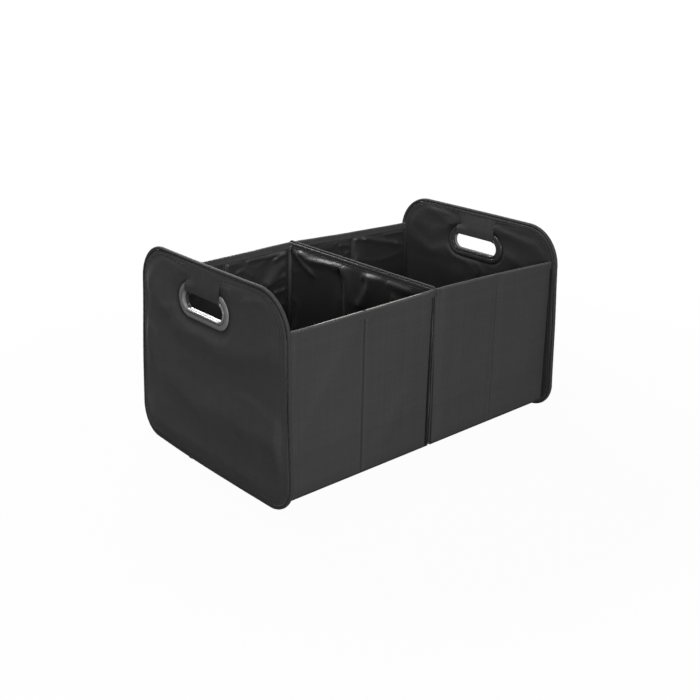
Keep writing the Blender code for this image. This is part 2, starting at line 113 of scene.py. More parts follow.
def loose_rim(name, x):
    """The rim as it hangs: the straight rim plus a sine arch, whose height each wall has of its own."""
    return rim_z(x) + RIM_LIFT[name] * np.sin(np.pi * np.clip(x / WALL_END, 0, 1))


# %% [markdown]
# Cloth could be simulated, draped or modelled by hand. The boards hold this cloth flat, so a simulation
# would hardly move it: what shows is slack, pulled into creases at known places. A surface that is a
# function of two parameters gives each crease its place, so that is the way taken, and one helper turns
# such a grid of points into a mesh. It also stores the cloth's own flat measure, in metres, as a UV map
# for the weave to follow.

# %% From a grid of points to a mesh
def add_object(name, data):
    """A new object in the scene, with a mesh, a lamp or a camera."""
    made = bpy.data.objects.new(name, data)
    bpy.context.scene.collection.objects.link(made)
    return made


def surface(name, points, flat, material, wrap=(False, False), facing=None, thick=0.0):
    """A mesh of quads through a grid of points (rows, columns, 3).

    flat has the cloth's own place of each point in metres, with one row or column more where the grid wraps.
    Faces turn towards facing, or outwards where facing is None, which is judged from the signed volume: the
    sum over the faces of centre times normal. thick adds a second side behind the first one.
    """
    rows, columns = points.shape[:2]
    r, c = np.meshgrid(np.arange(rows - (not wrap[0])), np.arange(columns - (not wrap[1])), indexing="ij")
    corners = [(r, c), (r, c + 1), (r + 1, c + 1), (r + 1, c)]
    faces = np.stack([(a % rows) * columns + b % columns for a, b in corners], -1).reshape(-1, 4)
    cloth = np.stack([flat[a, b] for a, b in corners], -2).reshape(-1, 4, 2)
    place = points.reshape(-1, 3)
    diagonals = place[faces[:, 2]] - place[faces[:, 0]], place[faces[:, 3]] - place[faces[:, 1]]
    normals = np.cross(*diagonals)
    towards = place[faces].mean(1) - place.mean(0) if facing is None else np.array(facing, float)
    if (normals * towards).sum() < 0:
        faces, cloth = faces[:, ::-1], cloth[:, ::-1]
    mesh = bpy.data.meshes.new(name)
    mesh.vertices.add(len(place))
    mesh.vertices.foreach_set("co", place.astype(np.float32).ravel())
    mesh.loops.add(faces.size)
    mesh.loops.foreach_set("vertex_index", faces.astype(np.int32).ravel())
    mesh.polygons.add(len(faces))
    mesh.polygons.foreach_set("loop_start", np.arange(0, faces.size, 4, dtype=np.int32))
    mesh.uv_layers.new(name="cloth").data.foreach_set("uv", cloth.astype(np.float32).ravel())
    mesh.update(calc_edges=True)
    mesh.shade_smooth()
    mesh.materials.append(material)
    piece = add_object(name, mesh)
    if thick:
        shell = piece.modifiers.new("cloth thickness", "SOLIDIFY")
        shell.thickness = thick
        shell.offset = -1.0
    return piece


def flat_grid(rows, columns):
    """A grid of cloth places from two runs of distances: rows downwards as V and columns as U."""
    return np.stack(np.meshgrid(columns, rows), -1)


def run_length(points, axis):
    """Distance along each line of a grid: the running sum of the steps between its points."""
    steps = np.linalg.norm(np.diff(points, axis=axis), axis=-1)
    start = np.zeros_like(np.take(steps, [0], axis))
    return np.concatenate([start, np.cumsum(steps, axis)], axis)


def points_at(path, distances):
    """The points of a path at the given distances along it."""
    length = run_length(path, 0)
    return np.stack([np.interp(distances, length, column) for column in path.T], -1)


# %% [markdown]
# Slack cloth shows two things. There are single creases, where it is pulled between two fixed points, and
# there is an uneven ground of soft waves and small crumples. Both are heights above the cloth's own
# plane. A noise texture could displace the mesh too, but then the creases couldn't sit where the
# photograph has them.

# %% Creases, waves and crumples
def crease(p, q, start, end, height, width, back_width=None, level=0.55):
    """A ridge along the line from start to end: height times a bell curve of the distance to it.

    Its other side may fall off over back_width, which gives a fold with one steep side.
    """
    a, b = np.array(start), np.array(end)
    along = b - a
    length = np.hypot(*along)
    s = ((p - a[0]) * along[0] + (q - a[1]) * along[1]) / length ** 2
    near = np.clip(s, 0, 1)
    dp, dq = p - a[0] - near * along[0], q - a[1] - near * along[1]
    side = dp * along[1] - dq * along[0]
    fall = np.where(side > 0, width, back_width or width)
    return height * np.exp(-(dp ** 2 + dq ** 2) / fall ** 2) * (level + (1 - level) * np.sin(np.pi * near))


def ridge(p, q, height, above, below, corners):
    """One fold along a line of corner points, with a fall above and one below: its highest part counts."""
    runs = [sorted(pair, reverse=True) for pair in zip(corners[:-1], corners[1:])]
    wander = 0.22 * min(above, below) + 0.0010
    p, q = p + wander * (lattice(p, q, 0.034, 5) - 0.5), q + 2 * wander * (lattice(p, q, 0.030, 9) - 0.5)
    parts = [crease(p, q, a, b, height, above, below, 1.0) for a, b in runs]
    strongest = np.argmax(np.abs(parts), axis=0)
    return np.take_along_axis(np.array(parts), strongest[None], 0)[0]


def lattice(p, q, size, seed):
    """Smooth noise from 0 to 1: random values at the corners of squares, eased between them."""
    values = np.random.default_rng(seed).random((64, 64))
    a, b = p / size + 17.0, q / size + 31.0
    i, j = np.floor(a).astype(int), np.floor(b).astype(int)
    s, t = a - i, b - j
    s, t = s * s * s * (s * (s * 6 - 15) + 10), t * t * t * (t * (t * 6 - 15) + 10)
    near = values[i % 64, j % 64] * (1 - s) + values[(i + 1) % 64, j % 64] * s
    far = values[i % 64, (j + 1) % 64] * (1 - s) + values[(i + 1) % 64, (j + 1) % 64] * s
    return near * (1 - t) + far * t


def waves(p, q, size, seed):
    """Soft waves from 0 to 1: two sizes of noise, turned against each other."""
    wide = lattice(0.8 * p + 0.6 * q, 0.8 * q - 0.6 * p, size, seed)
    return 0.7 * wide + 0.3 * lattice(p, q, size / 2.3, seed + 1)


def crumples(p, q, size, seed):
    """Crumpled cloth from 0 to 1: noise folded at its middle, so that sharp crests lie between hollows."""
    bend = 0.35 * size * lattice(p, q, size * 1.7, seed + 5)
    fold = 1 - np.abs(2 * lattice(p + bend, q - bend, size, seed) - 1)
    return fold ** 2.5


def fade(distance, over):
    """0 at an edge and 1 past the distance over, with a smooth start and end."""
    share = np.clip(distance / over, 0, 1)
    return share * share * (3 - 2 * share)


# %% [markdown]
# The finishes. The outer cloth is a matte woven polyester, and the lining is the same weave with a black
# coating that gives it a soft shine. A photograph of cloth tiled over the piece would be quick, but it
# repeats and has its own light in it. Threads are simple enough to work out: a plain weave is a chequer
# of warp over weft. Each effect is a node group, so that cloths with other threads can share it.

# %% Node helpers
def node(tree, kind, inputs=None, **settings):
    """Add a node; an input may be a number, a colour or another node's output."""
    made = tree.nodes.new(kind)
    for key, value in settings.items():
        setattr(made, key, value)
    for socket, value in (inputs or {}).items():
        if isinstance(value, bpy.types.NodeSocket):
            tree.links.new(value, made.inputs[socket])
        else:
            made.inputs[socket].default_value = value
    return made


def calc(tree, operation, *values):
    """One Math node's result."""
    return node(tree, "ShaderNodeMath", dict(enumerate(values)), operation=operation).outputs[0]


def new_group(name, inputs, outputs):
    """An empty node group with named inputs (kind, value) and outputs (kind)."""
    tree = bpy.data.node_groups.new(name, "ShaderNodeTree")
    for socket, (kind, value) in inputs.items():
        made = tree.interface.new_socket(socket, in_out="INPUT", socket_type="NodeSocket" + kind)
        if value is not None:
            made.default_value = value
    for socket, kind in outputs.items():
        tree.interface.new_socket(socket, in_out="OUTPUT", socket_type="NodeSocket" + kind)
    return tree, tree.nodes.new("NodeGroupInput").outputs, tree.nodes.new("NodeGroupOutput")


def principled(name):
    """A new material, its node tree and its Principled shader."""
    material = bpy.data.materials.new(name)
    material.use_nodes = True
    return material, material.node_tree, material.node_tree.nodes["Principled BSDF"]


def dress(tree, shader, colour, value, rough, height, strength, distance):
    """Feed a shader: the colour times a value, the roughness, and a height by way of a Bump node."""
    tinted = node(tree, "ShaderNodeVectorMath", {0: colour, "Scale": value}, operation="SCALE")
    relief = node(tree, "ShaderNodeBump", {"Height": height, "Strength": strength, "Distance": distance})
    tree.links.new(tinted.outputs[0], shader.inputs["Base Color"])
    tree.links.new(rough, shader.inputs["Roughness"])
    tree.links.new(relief.outputs[0], shader.inputs["Normal"])


def put_out(tree, end, results):
    for socket, value in results.items():
        tree.links.new(value, end.inputs[socket])


# %% The weave
def make_weave():
    """Plain weave from the cloth's own place.

    With u and v counted in threads, a thread's section is |sin(pi u)|. The warp lies on top where column
    plus row is even, which is 0.5 + 0.5 cos(pi (v - 0.5 + column)), and the weft lies on top elsewhere.
    The height is the larger of the two. Each thread also gets a random shade of its own.
    """
    tree, given, end = new_group("Plain weave", {"Place": ("Vector", None), "Thread": ("Float", 0.0006)},
                                 {"Height": "Float", "Shade": "Float"})
    threads = node(tree, "ShaderNodeVectorMath", {0: given["Place"]}, operation="SCALE")
    tree.links.new(calc(tree, "DIVIDE", 1.0, given["Thread"]), threads.inputs["Scale"])
    parts = node(tree, "ShaderNodeSeparateXYZ", {0: threads.outputs[0]}).outputs
    u, v = parts[0], parts[1]
    column, row = calc(tree, "FLOOR", u), calc(tree, "FLOOR", v)

    def on_top(across, number, sign):
        turn = calc(tree, "MULTIPLY", calc(tree, "ADD", calc(tree, "SUBTRACT", across, 0.5), number), np.pi)
        return calc(tree, "MULTIPLY_ADD", calc(tree, "COSINE", turn), 0.5 * sign, 0.5)

    def section(across):
        return calc(tree, "ABSOLUTE", calc(tree, "SINE", calc(tree, "MULTIPLY", across, np.pi)))

    warp = calc(tree, "MULTIPLY", section(u), on_top(v, column, 1.0))
    weft = calc(tree, "MULTIPLY", section(v), on_top(u, row, -1.0))
    lines = node(tree, "ShaderNodeCombineXYZ", {0: column, 1: 0.5}).outputs[0]
    cross = node(tree, "ShaderNodeCombineXYZ", {0: 7.5, 1: row}).outputs[0]
    warp_shade, weft_shade = (node(tree, "ShaderNodeTexWhiteNoise", {"Vector": number},
                                   noise_dimensions="3D").outputs["Value"] for number in (lines, cross))
    upper = calc(tree, "GREATER_THAN", warp, weft)
    shade = node(tree, "ShaderNodeMix", {0: upper, 2: weft_shade, 3: warp_shade},
                 data_type="FLOAT").outputs[0]
    put_out(tree, end, {"Height": calc(tree, "MAXIMUM", warp, weft), "Shade": shade})
    return tree


def make_mottle():
    """Uneven dye and handling marks: noise of two sizes round 1, wide and fine, by the amount asked for."""
    tree, given, end = new_group("Uneven dye", {"Place": ("Vector", None), "Wide": ("Float", 9.0),
                                                "Amount": ("Float", 0.2)}, {"Value": "Float"})
    wide = node(tree, "ShaderNodeTexNoise", {"Vector": given["Place"], "Scale": given["Wide"],
                                             "Detail": 3.0})
    fine = node(tree, "ShaderNodeTexNoise", {"Vector": given["Place"], "Scale": 900.0, "Detail": 1.0})
    both = calc(tree, "ADD", wide.outputs[0], fine.outputs[0])
    put_out(tree, end, {"Value": calc(tree, "MULTIPLY_ADD", calc(tree, "SUBTRACT", both, 1.0),
                                      given["Amount"], 1.0)})
    return tree


def make_grain():
    """Moulded grain: rounded cells with worn tops, as a height, and fine scuffs as a mask."""
    tree, given, end = new_group("Moulded grain", {"Place": ("Vector", None), "Cells": ("Float", 1500.0)},
                                 {"Height": "Float", "Scuffs": "Float"})
    cells = node(tree, "ShaderNodeTexVoronoi", {"Vector": given["Place"], "Scale": given["Cells"]},
                 feature="SMOOTH_F1")
    scuffs = node(tree, "ShaderNodeTexNoise", {"Vector": given["Place"], "Scale": 60.0, "Detail": 6.0,
                                               "Roughness": 0.7})
    put_out(tree, end, {"Height": cells.outputs["Distance"], "Scuffs": scuffs.outputs[0]})
    return tree


WEAVE = make_weave()
MOTTLE = make_mottle()
GRAIN = make_grain()
print("node groups", [group.name for group in bpy.data.node_groups])


# %% [markdown]
# A cloth material places those groups with its own thread, dye and shine. The thread's height goes to a
# Bump node and its shade to the colour and roughness. The height also darkens the colour between the
# threads, which is painted shade in the weave's hollows. The weave follows the piece's own UV map, in
# metres, so that it turns round edges with the cloth, and the uneven dye follows Object coordinates, so
# that it runs on past a seam.

# %% Cloth materials
def cloth(name, colour, rough, thread, bump, sheen, level, spread=0.3, dye=0.25):
    material, tree, shader = principled(name)
    place = node(tree, "ShaderNodeUVMap", uv_map="cloth").outputs[0]
    solid = node(tree, "ShaderNodeTexCoord").outputs["Object"]
    weave = node(tree, "ShaderNodeGroup", {"Place": place, "Thread": thread}, node_tree=WEAVE).outputs
    mottle = node(tree, "ShaderNodeGroup", {"Place": solid, "Amount": dye}, node_tree=MOTTLE).outputs
    shade = calc(tree, "MULTIPLY_ADD", weave["Shade"], spread, 1.0 - spread / 2)
    # Painted shade: the colour darkens where the weave is low, between the threads.
    depth = calc(tree, "MULTIPLY_ADD", weave["Height"], 0.5, 0.66)
    value = calc(tree, "MULTIPLY", calc(tree, "MULTIPLY", shade, depth), mottle["Value"])
    roughness = calc(tree, "MULTIPLY_ADD", weave["Shade"], 0.08, rough - 0.04)
    dress(tree, shader, colour, value, roughness, weave["Height"], bump, thread * 0.25)
    shader.inputs["Sheen Weight"].default_value = sheen
    shader.inputs["Sheen Roughness"].default_value = 0.45
    shader.inputs["Specular IOR Level"].default_value = level
    return material


OUTER = cloth("outer_cloth_woven", (0.040, 0.040, 0.0405), 0.68, 0.00062, 0.35, 0.06, 0.22)
LINING = cloth("lining_cloth_coated", (0.0220, 0.0220, 0.0227), 0.44, 0.00052, 0.16, 0.03, 0.44, 0.2)
PANEL_LINING = cloth("lining_cloth_matte", (0.0240, 0.0240, 0.0247), 0.58, 0.00056, 0.22, 0.04, 0.26, 0.25)
WRAP = cloth("wrap_cloth_woven", (0.0330, 0.0330, 0.0335), 0.68, 0.00062, 0.35, 0.06, 0.20)
TAPE = cloth("piping_cloth_tape", (0.034, 0.034, 0.035), 0.72, 0.00045, 0.50, 0.05, 0.18)
# Painted shade: a near-black cloth for the front hinge lips and the wrap slits, where there is only shade.
PAINTED_SHADE_CLOTH = cloth("painted_shade_cloth_black", (0.008, 0.008, 0.008), 0.80, 0.0006, 0.30, 0.0, 0.10)
THREAD = cloth("sewing_thread", (0.034, 0.034, 0.035), 0.50, 0.0003, 0.5, 0.1, 0.40)


def plastic(name, colour, rough, cells, height, level):
    """Moulded plastic: grain in the bump and scuffs in the roughness and, faintly, in the colour."""
    material, tree, shader = principled(name)
    solid = node(tree, "ShaderNodeTexCoord").outputs["Object"]
    grain = node(tree, "ShaderNodeGroup", {"Place": solid, "Cells": cells}, node_tree=GRAIN).outputs
    scuffs = calc(tree, "MULTIPLY_ADD", grain["Scuffs"], 0.24, rough - 0.12)
    value = calc(tree, "MULTIPLY_ADD", grain["Scuffs"], 0.3, 0.85)
    dress(tree, shader, colour, value, scuffs, grain["Height"], height, 0.00005)
    shader.inputs["Specular IOR Level"].default_value = level
    return material


HANDLE = plastic("handle_plastic_satin", (0.170, 0.170, 0.170), 0.30, 2200.0, 0.30, 0.5)
INNER_HANDLE = plastic("handle_plastic_dark", (0.034, 0.034, 0.035), 0.26, 2200.0, 0.25, 0.5)
BOARD = plastic("stiff_board_sheet", (0.20, 0.20, 0.19), 0.60, 900.0, 0.6, 0.4)
for name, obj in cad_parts.items():
    if name.endswith("board"):
        for material_slot in obj.material_slots:
            material_slot.material = BOARD
FINISHES = (OUTER, LINING, PANEL_LINING, TAPE, WRAP, PAINTED_SHADE_CLOTH, THREAD, HANDLE, INNER_HANDLE, BOARD)
print("materials", [finish.name for finish in FINISHES])


# %% [markdown]
# An end panel is one flat sheet with a hole near its top. A plain grid with a hole cut by a Boolean would
# leave ragged faces round the hole. Rays from the handle's middle cross every distance once between the
# oval hole and the panel's outline, so a grid of rays and steps fits both edges exactly.

# %% Outlines of the end panel and the handle
def round_cornered(foot, top, count, steps):
    """A closed path (y, z) from the foot, anticlockwise: foot and top are (half width, radius, height)."""
    arcs = []
    for sign, (half, radius, z), up, start in ((1, foot, 1, -90), (1, top, -1, 0),
                                               (-1, top, -1, 90), (-1, foot, 1, 180)):
        turn = np.radians(np.linspace(start, start + 90, steps))
        y = sign * (half - radius) + radius * np.cos(turn)
        arcs.append(np.stack([y, z + up * radius + radius * np.sin(turn)], -1))
    return evenly(np.concatenate(arcs + [arcs[0][:1]]), count)


def panel_outline(inset, count=2400):
    """The panel's edge as (y, z): leaning sides and four round corners."""
    foot = PANEL_FOOT_HALF - inset, PANEL_FOOT_RADIUS - inset, inset
    top = PANEL_TOP_HALF - inset, PANEL_TOP_RADIUS - inset, PANEL_HEIGHT - inset
    return round_cornered(foot, top, count, 200)


def evenly(path, count):
    """The same closed path with points at equal distances, the last one left out because it is the first."""
    return points_at(path, np.linspace(0, run_length(path, 0)[-1], count, endpoint=False))


def oval(radius, count=2400, straight=HANDLE_STRAIGHT):
    """A stadium round the origin: two half circles joined by straight runs."""
    turn = np.radians(np.linspace(-90, 90, 300))
    right = np.stack([straight + radius * np.cos(turn), radius * np.sin(turn)], -1)
    return evenly(np.concatenate([right, -right, right[:1]]), count)


def reach(path, angle):
    """Distance from the origin to a closed path at each angle: its radius, read off by its own angle."""
    own = np.unwrap(np.arctan2(path[:, 1], path[:, 0]))
    order = np.argsort(own)
    return np.interp(angle, own[order], np.hypot(*path[order].T), period=2 * np.pi)


# %% Grid of an end panel
RAYS = 320
STEPS = 84
EDGE_INSET = PIPING_RADIAL + 0.0001


def end_grid(side_name):
    """Places (y, z) on rays from the hole's edge to the piping, with the distance to each edge."""
    shift = HANDLE_Y[side_name]
    edge = panel_outline(EDGE_INSET, RAYS) - (shift, HANDLE_Z)
    angle = np.arctan2(edge[:, 1], edge[:, 0])
    hole = reach(oval(OPENING_RADIUS + 0.0030), angle)
    outer = np.hypot(*edge.T)
    step = np.linspace(0, 1, STEPS)[:, None]
    step = 1 - (1 - step) ** 1.25
    distance = hole + (outer - hole) * step
    y, z = distance * np.cos(angle) + shift, distance * np.sin(angle) + HANDLE_Z
    along = np.clip(np.abs(y - shift), HANDLE_STRAIGHT, None) - HANDLE_STRAIGHT
    from_handle = np.hypot(along, z - HANDLE_Z)
    from_edge = (outer - distance) * 0.9
    return y, z, from_handle, from_edge


def closed_flat(y, z):
    """The cloth's flat measure of a grid whose columns close into a ring, with the first column repeated."""
    flat = np.stack([y, z], -1)
    return np.concatenate([flat, flat[:, :1]], 1)


# %% [markdown]
# The outer cover hangs a little slack between its piping and the handle. Three broad folds cross it one
# above the other, with short creases between them and soft waves over the whole panel. The relief dies out
# at the piping, where the cloth is sewn down into a narrow groove, and round the handle's flange, which
# clamps it. Beside the piping the seam allowance shows through as a faint line.

# %% End covers
def edge_seam(from_edge):
    """The sewn border: a groove right beside the piping and a faint line where the seam allowance ends."""
    groove = -0.0016 * np.exp(-(from_edge / 0.0015) ** 2)
    allowance = 0.00028 * fade(0.0100 - from_edge, 0.0016)
    return groove + allowance


COVER_RIDGES = ((0.0046, 0.024, 0.017, ((0.160, 0.232), (0.110, 0.212), (0.062, 0.190), (0.016, 0.183),
                                        (-0.034, 0.182), (-0.082, 0.184), (-0.145, 0.203))),
                (0.0054, 0.030, 0.018, ((0.160, 0.150), (0.139, 0.142), (0.114, 0.126), (0.065, 0.100),
                                        (0.018, 0.089), (-0.027, 0.092), (-0.081, 0.093), (-0.140, 0.088))),
                (0.0030, 0.024, 0.012, ((0.130, 0.040), (0.068, 0.019), (0.020, 0.012), (-0.037, 0.010),
                                        (-0.091, 0.012))),
                (0.0016, 0.005, 0.009, ((0.160, 0.181), (0.140, 0.170), (0.118, 0.158))),
                (0.0013, 0.006, 0.010, ((-0.070, 0.133), (-0.105, 0.127), (-0.142, 0.117))),
                (0.0010, 0.004, 0.007, ((0.052, 0.196), (0.026, 0.188), (0.010, 0.190))),
                (0.0012, 0.005, 0.010, ((-0.086, 0.256), (-0.110, 0.262), (-0.136, 0.256))),
                (0.0010, 0.005, 0.008, ((0.120, 0.214), (0.092, 0.205), (0.072, 0.210))))


def cover_relief(side_name, y, z, from_handle, from_edge):
    seed = {"left": 3, "right": 8}[side_name]
    p = y if side_name == "left" else -y
    relief = 0.0022 * waves(p * 0.45 + z * 0.30, z * 1.25 - p * 0.20, 0.055, seed)
    relief += 0.0010 * waves(p, z, 0.030, seed + 20)
    for fold in COVER_RIDGES:
        relief += ridge(p, z, *fold)
    pinch = -0.0008 * (1 - fade(from_handle - 0.0232, 0.0045))
    held = fade(from_edge - 0.003, 0.022) * fade(from_handle - 0.024, 0.018)
    return relief * held + pinch + edge_seam(from_edge)


for side_name, side in SIDES.items():
    y, z, from_handle, from_edge = end_grid(side_name)
    relief = cover_relief(side_name, y, z, from_handle, from_edge)
    x = side * (HALF_LENGTH + COVER_FACE + bow(y) + relief)
    piece = surface(side_name + "_end_cover_cloth", np.stack([x, y, z], -1), closed_flat(y, z), OUTER,
                    (False, True), (side, 0, 0), 0.0007)
    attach(piece, side_name + "_end")
    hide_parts(side_name + "_end_cover")
    print(piece.name, "relief", round(relief.min() * 1000, 2), "to", round(relief.max() * 1000, 2), "mm")


# %% [markdown]
# Inside, the same panel wears the coated lining. Its wrinkles are smaller and run to the handle, because
# the inner ring pulls the cloth together there. When the organizer is folded the walls lie against this
# face with 2 mm to spare at the sides and 4 mm more in the bowed middle, so the relief is scaled by that
# room.

# %% End linings
PANEL_FOLDS = ((0.9, 0.0060, 0.0090, ((0.104, 0.271), (0.077, 0.258), (0.047, 0.249))),
               (0.8, 0.0060, 0.0090, ((0.078, 0.272), (0.040, 0.253))),
               (0.9, 0.0090, 0.0120, ((0.136, 0.246), (0.093, 0.228), (0.070, 0.239), (0.050, 0.247))),
               (1.3, 0.0100, 0.0120, ((0.139, 0.209), (0.094, 0.198), (0.047, 0.208))),
               (1.4, 0.0060, 0.0080, ((0.036, 0.202), (0.016, 0.197), (-0.008, 0.178))),
               (1.1, 0.0050, 0.0070, ((0.000, 0.199), (-0.024, 0.184))),
               (1.4, 0.0070, 0.0120, ((-0.042, 0.258), (-0.077, 0.254), (-0.118, 0.248), (-0.141, 0.234))),
               (1.0, 0.0080, 0.0100, ((-0.060, 0.222), (-0.120, 0.206))),
               (0.8, 0.0120, 0.0120, ((0.090, 0.130), (0.020, 0.090))),
               (0.8, 0.0120, 0.0120, ((-0.040, 0.150), (-0.110, 0.110))))


def lining_relief(side_name, y, z, from_handle, from_edge):
    seed = {"left": 31, "right": 37}[side_name]
    p = y if side_name == "right" else -y
    relief = 0.9 * waves(p * 0.8 + z * 0.6, z * 0.8 - p * 0.5, 0.055, seed)
    relief += 0.25 * crumples(p, z, 0.045, seed + 9)
    for fold in PANEL_FOLDS:
        relief += ridge(p, z, *fold)
    room = 0.0009 + 0.22 * bow(y)
    pinch = -0.0006 * (1 - fade(from_handle - 0.0232, 0.0040))
    held = fade(from_edge - 0.003, 0.018) * fade(from_handle - 0.0235, 0.006)
    return relief * room * held + pinch + edge_seam(from_edge)


for side_name, side in SIDES.items():
    y, z, from_handle, from_edge = end_grid(side_name)
    relief = lining_relief(side_name, y, z, from_handle, from_edge)
    x = side * (HALF_LENGTH - LINING_FACE + bow(y) - relief)
    piece = surface(side_name + "_end_lining_cloth", np.stack([x, y, z], -1), closed_flat(y, z),
                    PANEL_LINING, (False, True), (-side, 0, 0), 0.0005)
    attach(piece, side_name + "_end")
    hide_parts(side_name + "_end_lining")
    print(piece.name, "relief up to", round(relief.max() * 1000, 2), "mm")


# %% [markdown]
# Piping runs round each end panel and round the divider: a strip of cloth folded over a cord. A curve
# with a bevel would do, but the tape's two ends overlap in one place, and the tape puckers a little
# between stitches. A tube worked out point by point takes both: its radius swells at the join and
# breathes along its length.

# %% Piping
AROUND = 20


def tube(path, outward, sideways, radial, across, swell):
    """A closed tube along a closed path.

    Each ring of points is the path, moved inwards by half the radial size, plus cos and sin of the angle
    times the half sizes along outward and sideways. swell scales each ring.
    """
    turn = np.linspace(0, 2 * np.pi, AROUND, endpoint=False)
    middle = path - outward * radial / 2
    rings = (np.cos(turn)[:, None] * outward[:, None] * radial / 2
             + np.sin(turn)[:, None] * sideways[:, None] * across / 2) * swell[:, None, None]
    return middle[:, None] + rings


def piping(name, outline, depth_at, radial, across, joins, seed):
    """Piping along an outline in the YZ plane, whose place along X is depth_at(y, z)."""
    count = len(outline)
    steps = np.roll(outline, -1, 0) - np.roll(outline, 1, 0)
    steps /= np.hypot(*steps.T)[:, None]
    outward = np.stack([np.zeros(count), steps[:, 1], -steps[:, 0]], -1)
    path = np.stack([depth_at(outline[:, 0], outline[:, 1]), outline[:, 0], outline[:, 1]], -1)
    length = np.linalg.norm(np.diff(path, axis=0, append=path[:1]), axis=-1)
    at = np.concatenate([[0], np.cumsum(length)])
    total = at[-1]
    turns = 2 * np.pi * at[:-1] / total
    stitched = 0.018 * np.sin(round(total / 0.011) * turns)
    swell = 1 + stitched + 0.05 * (lattice(at[:-1], at[:-1] * 0, 0.03, seed) - 0.5)
    for place, size in joins:
        gap = np.hypot(*(outline - place).T)
        swell = swell + size * np.exp(-(gap / 0.0035) ** 2)
    sideways = np.tile([1.0, 0.0, 0.0], (count, 1))
    points = tube(path, outward, sideways, radial, across, swell)
    ring = np.linspace(0, np.pi * (radial + across) / 2, AROUND + 1)
    flat = flat_grid(at, ring)
    slant = np.stack([flat[..., 0] + flat[..., 1], flat[..., 1] - flat[..., 0]], -1) * 0.7071
    return surface(name, points, slant, TAPE, (True, True))


TAPE_JOIN = {"left": (0.0431, 0.0), "right": (-0.0600, 0.0)}
for side_name, side in SIDES.items():
    def place_x(y, z, side=side):
        return side * (HALF_LENGTH + bow(y)) + 0.0004 * side * np.sin(z * 37 + y * 21)

    piece = piping(side_name + "_end_binding", panel_outline(0.0, 760), place_x, PIPING_RADIAL,
                   PIPING_ACROSS, [(TAPE_JOIN[side_name], 0.32)], 51)
    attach(piece, side_name + "_end")
    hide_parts(side_name + "_end_piping")
print("piping round the end panels", round(run_length(panel_outline(0.0), 0)[-1], 3), "m long")


# %% [markdown]
# Each long wall is two boards in one cloth pocket, with a sewn channel between them that works as the
# hinge. Front and back covers are one piece per half, with many columns right at the channel, where the
# real cover bends when the wall folds flat. Its plan turns round the wall's ends, and its lower rows turn
# under the foot, so that no raw board edge shows.
# Beside the divider the board stops short, so the cover rolls in there over 6 mm, and the gap stays dark
# as in the photograph.

# %% Plan of a wall's cover
TURN = 0.0014
ROLL = 0.0060
END_PLAY = 0.0003


def wall_plan():
    """Stations along the wall: distance along the length, depth in from the outer face, running distance.

    The plan starts on the inner side at the divider, turns round that end, runs along the outer face and
    turns round the far end. Stations crowd together at the channel in the middle.
    """
    ends = np.linspace(0, np.pi / 2, 6)
    depth = WALL_OUTER - WALL_INNER
    start = WALL_START - END_PLAY
    stop = WALL_END + 0.0001
    steps = np.linspace(0, np.pi / 2, 14)
    into = [(start + ROLL * (1 - np.cos(t)), (depth - 0.0003) * (1 - np.sin(t))) for t in steps]
    run = np.linspace(start + ROLL, FOLD_X - 0.006, 56)[1:-1]
    fold = FOLD_X + np.concatenate([np.linspace(-0.006, -0.0011, 8), np.linspace(-0.0009, 0.0009, 13),
                                    np.linspace(0.0011, 0.006, 8)])
    away = np.linspace(FOLD_X + 0.006, stop - TURN, 58)[1:-1]
    out = [(stop - TURN * (1 - np.cos(t)), TURN * (1 - np.sin(t))) for t in ends[::-1]]
    out += [(stop, d) for d in np.linspace(TURN, depth - 0.0003, 4)[1:]]
    middle = [(x, 0.0) for x in np.concatenate([run, fold, away])]
    plan = np.array(into + middle + out)
    return plan[:, 0], plan[:, 1], run_length(plan, 0)


PLAN_X, PLAN_DEPTH, PLAN_AT = wall_plan()
print("wall plan", len(PLAN_X), "stations over", round(PLAN_AT[-1], 4), "m")


def channel(x, z, top):
    """The sewn channel at the fold: a narrow valley between two low shoulders, with a pucker at its top."""
    valley = -0.0026 * np.exp(-((x - FOLD_X) / 0.0013) ** 2)
    shoulders = 0.0006 * np.exp(-((np.abs(x - FOLD_X) - 0.0034) / 0.0018) ** 2)
    start = fade(top - 0.0095 - z, 0.003)
    pucker = 0.00055 * np.exp(-((x - FOLD_X + 0.0045) / 0.003) ** 2 - ((z - top + 0.0150) / 0.004) ** 2)
    return (valley + shoulders) * start + pucker


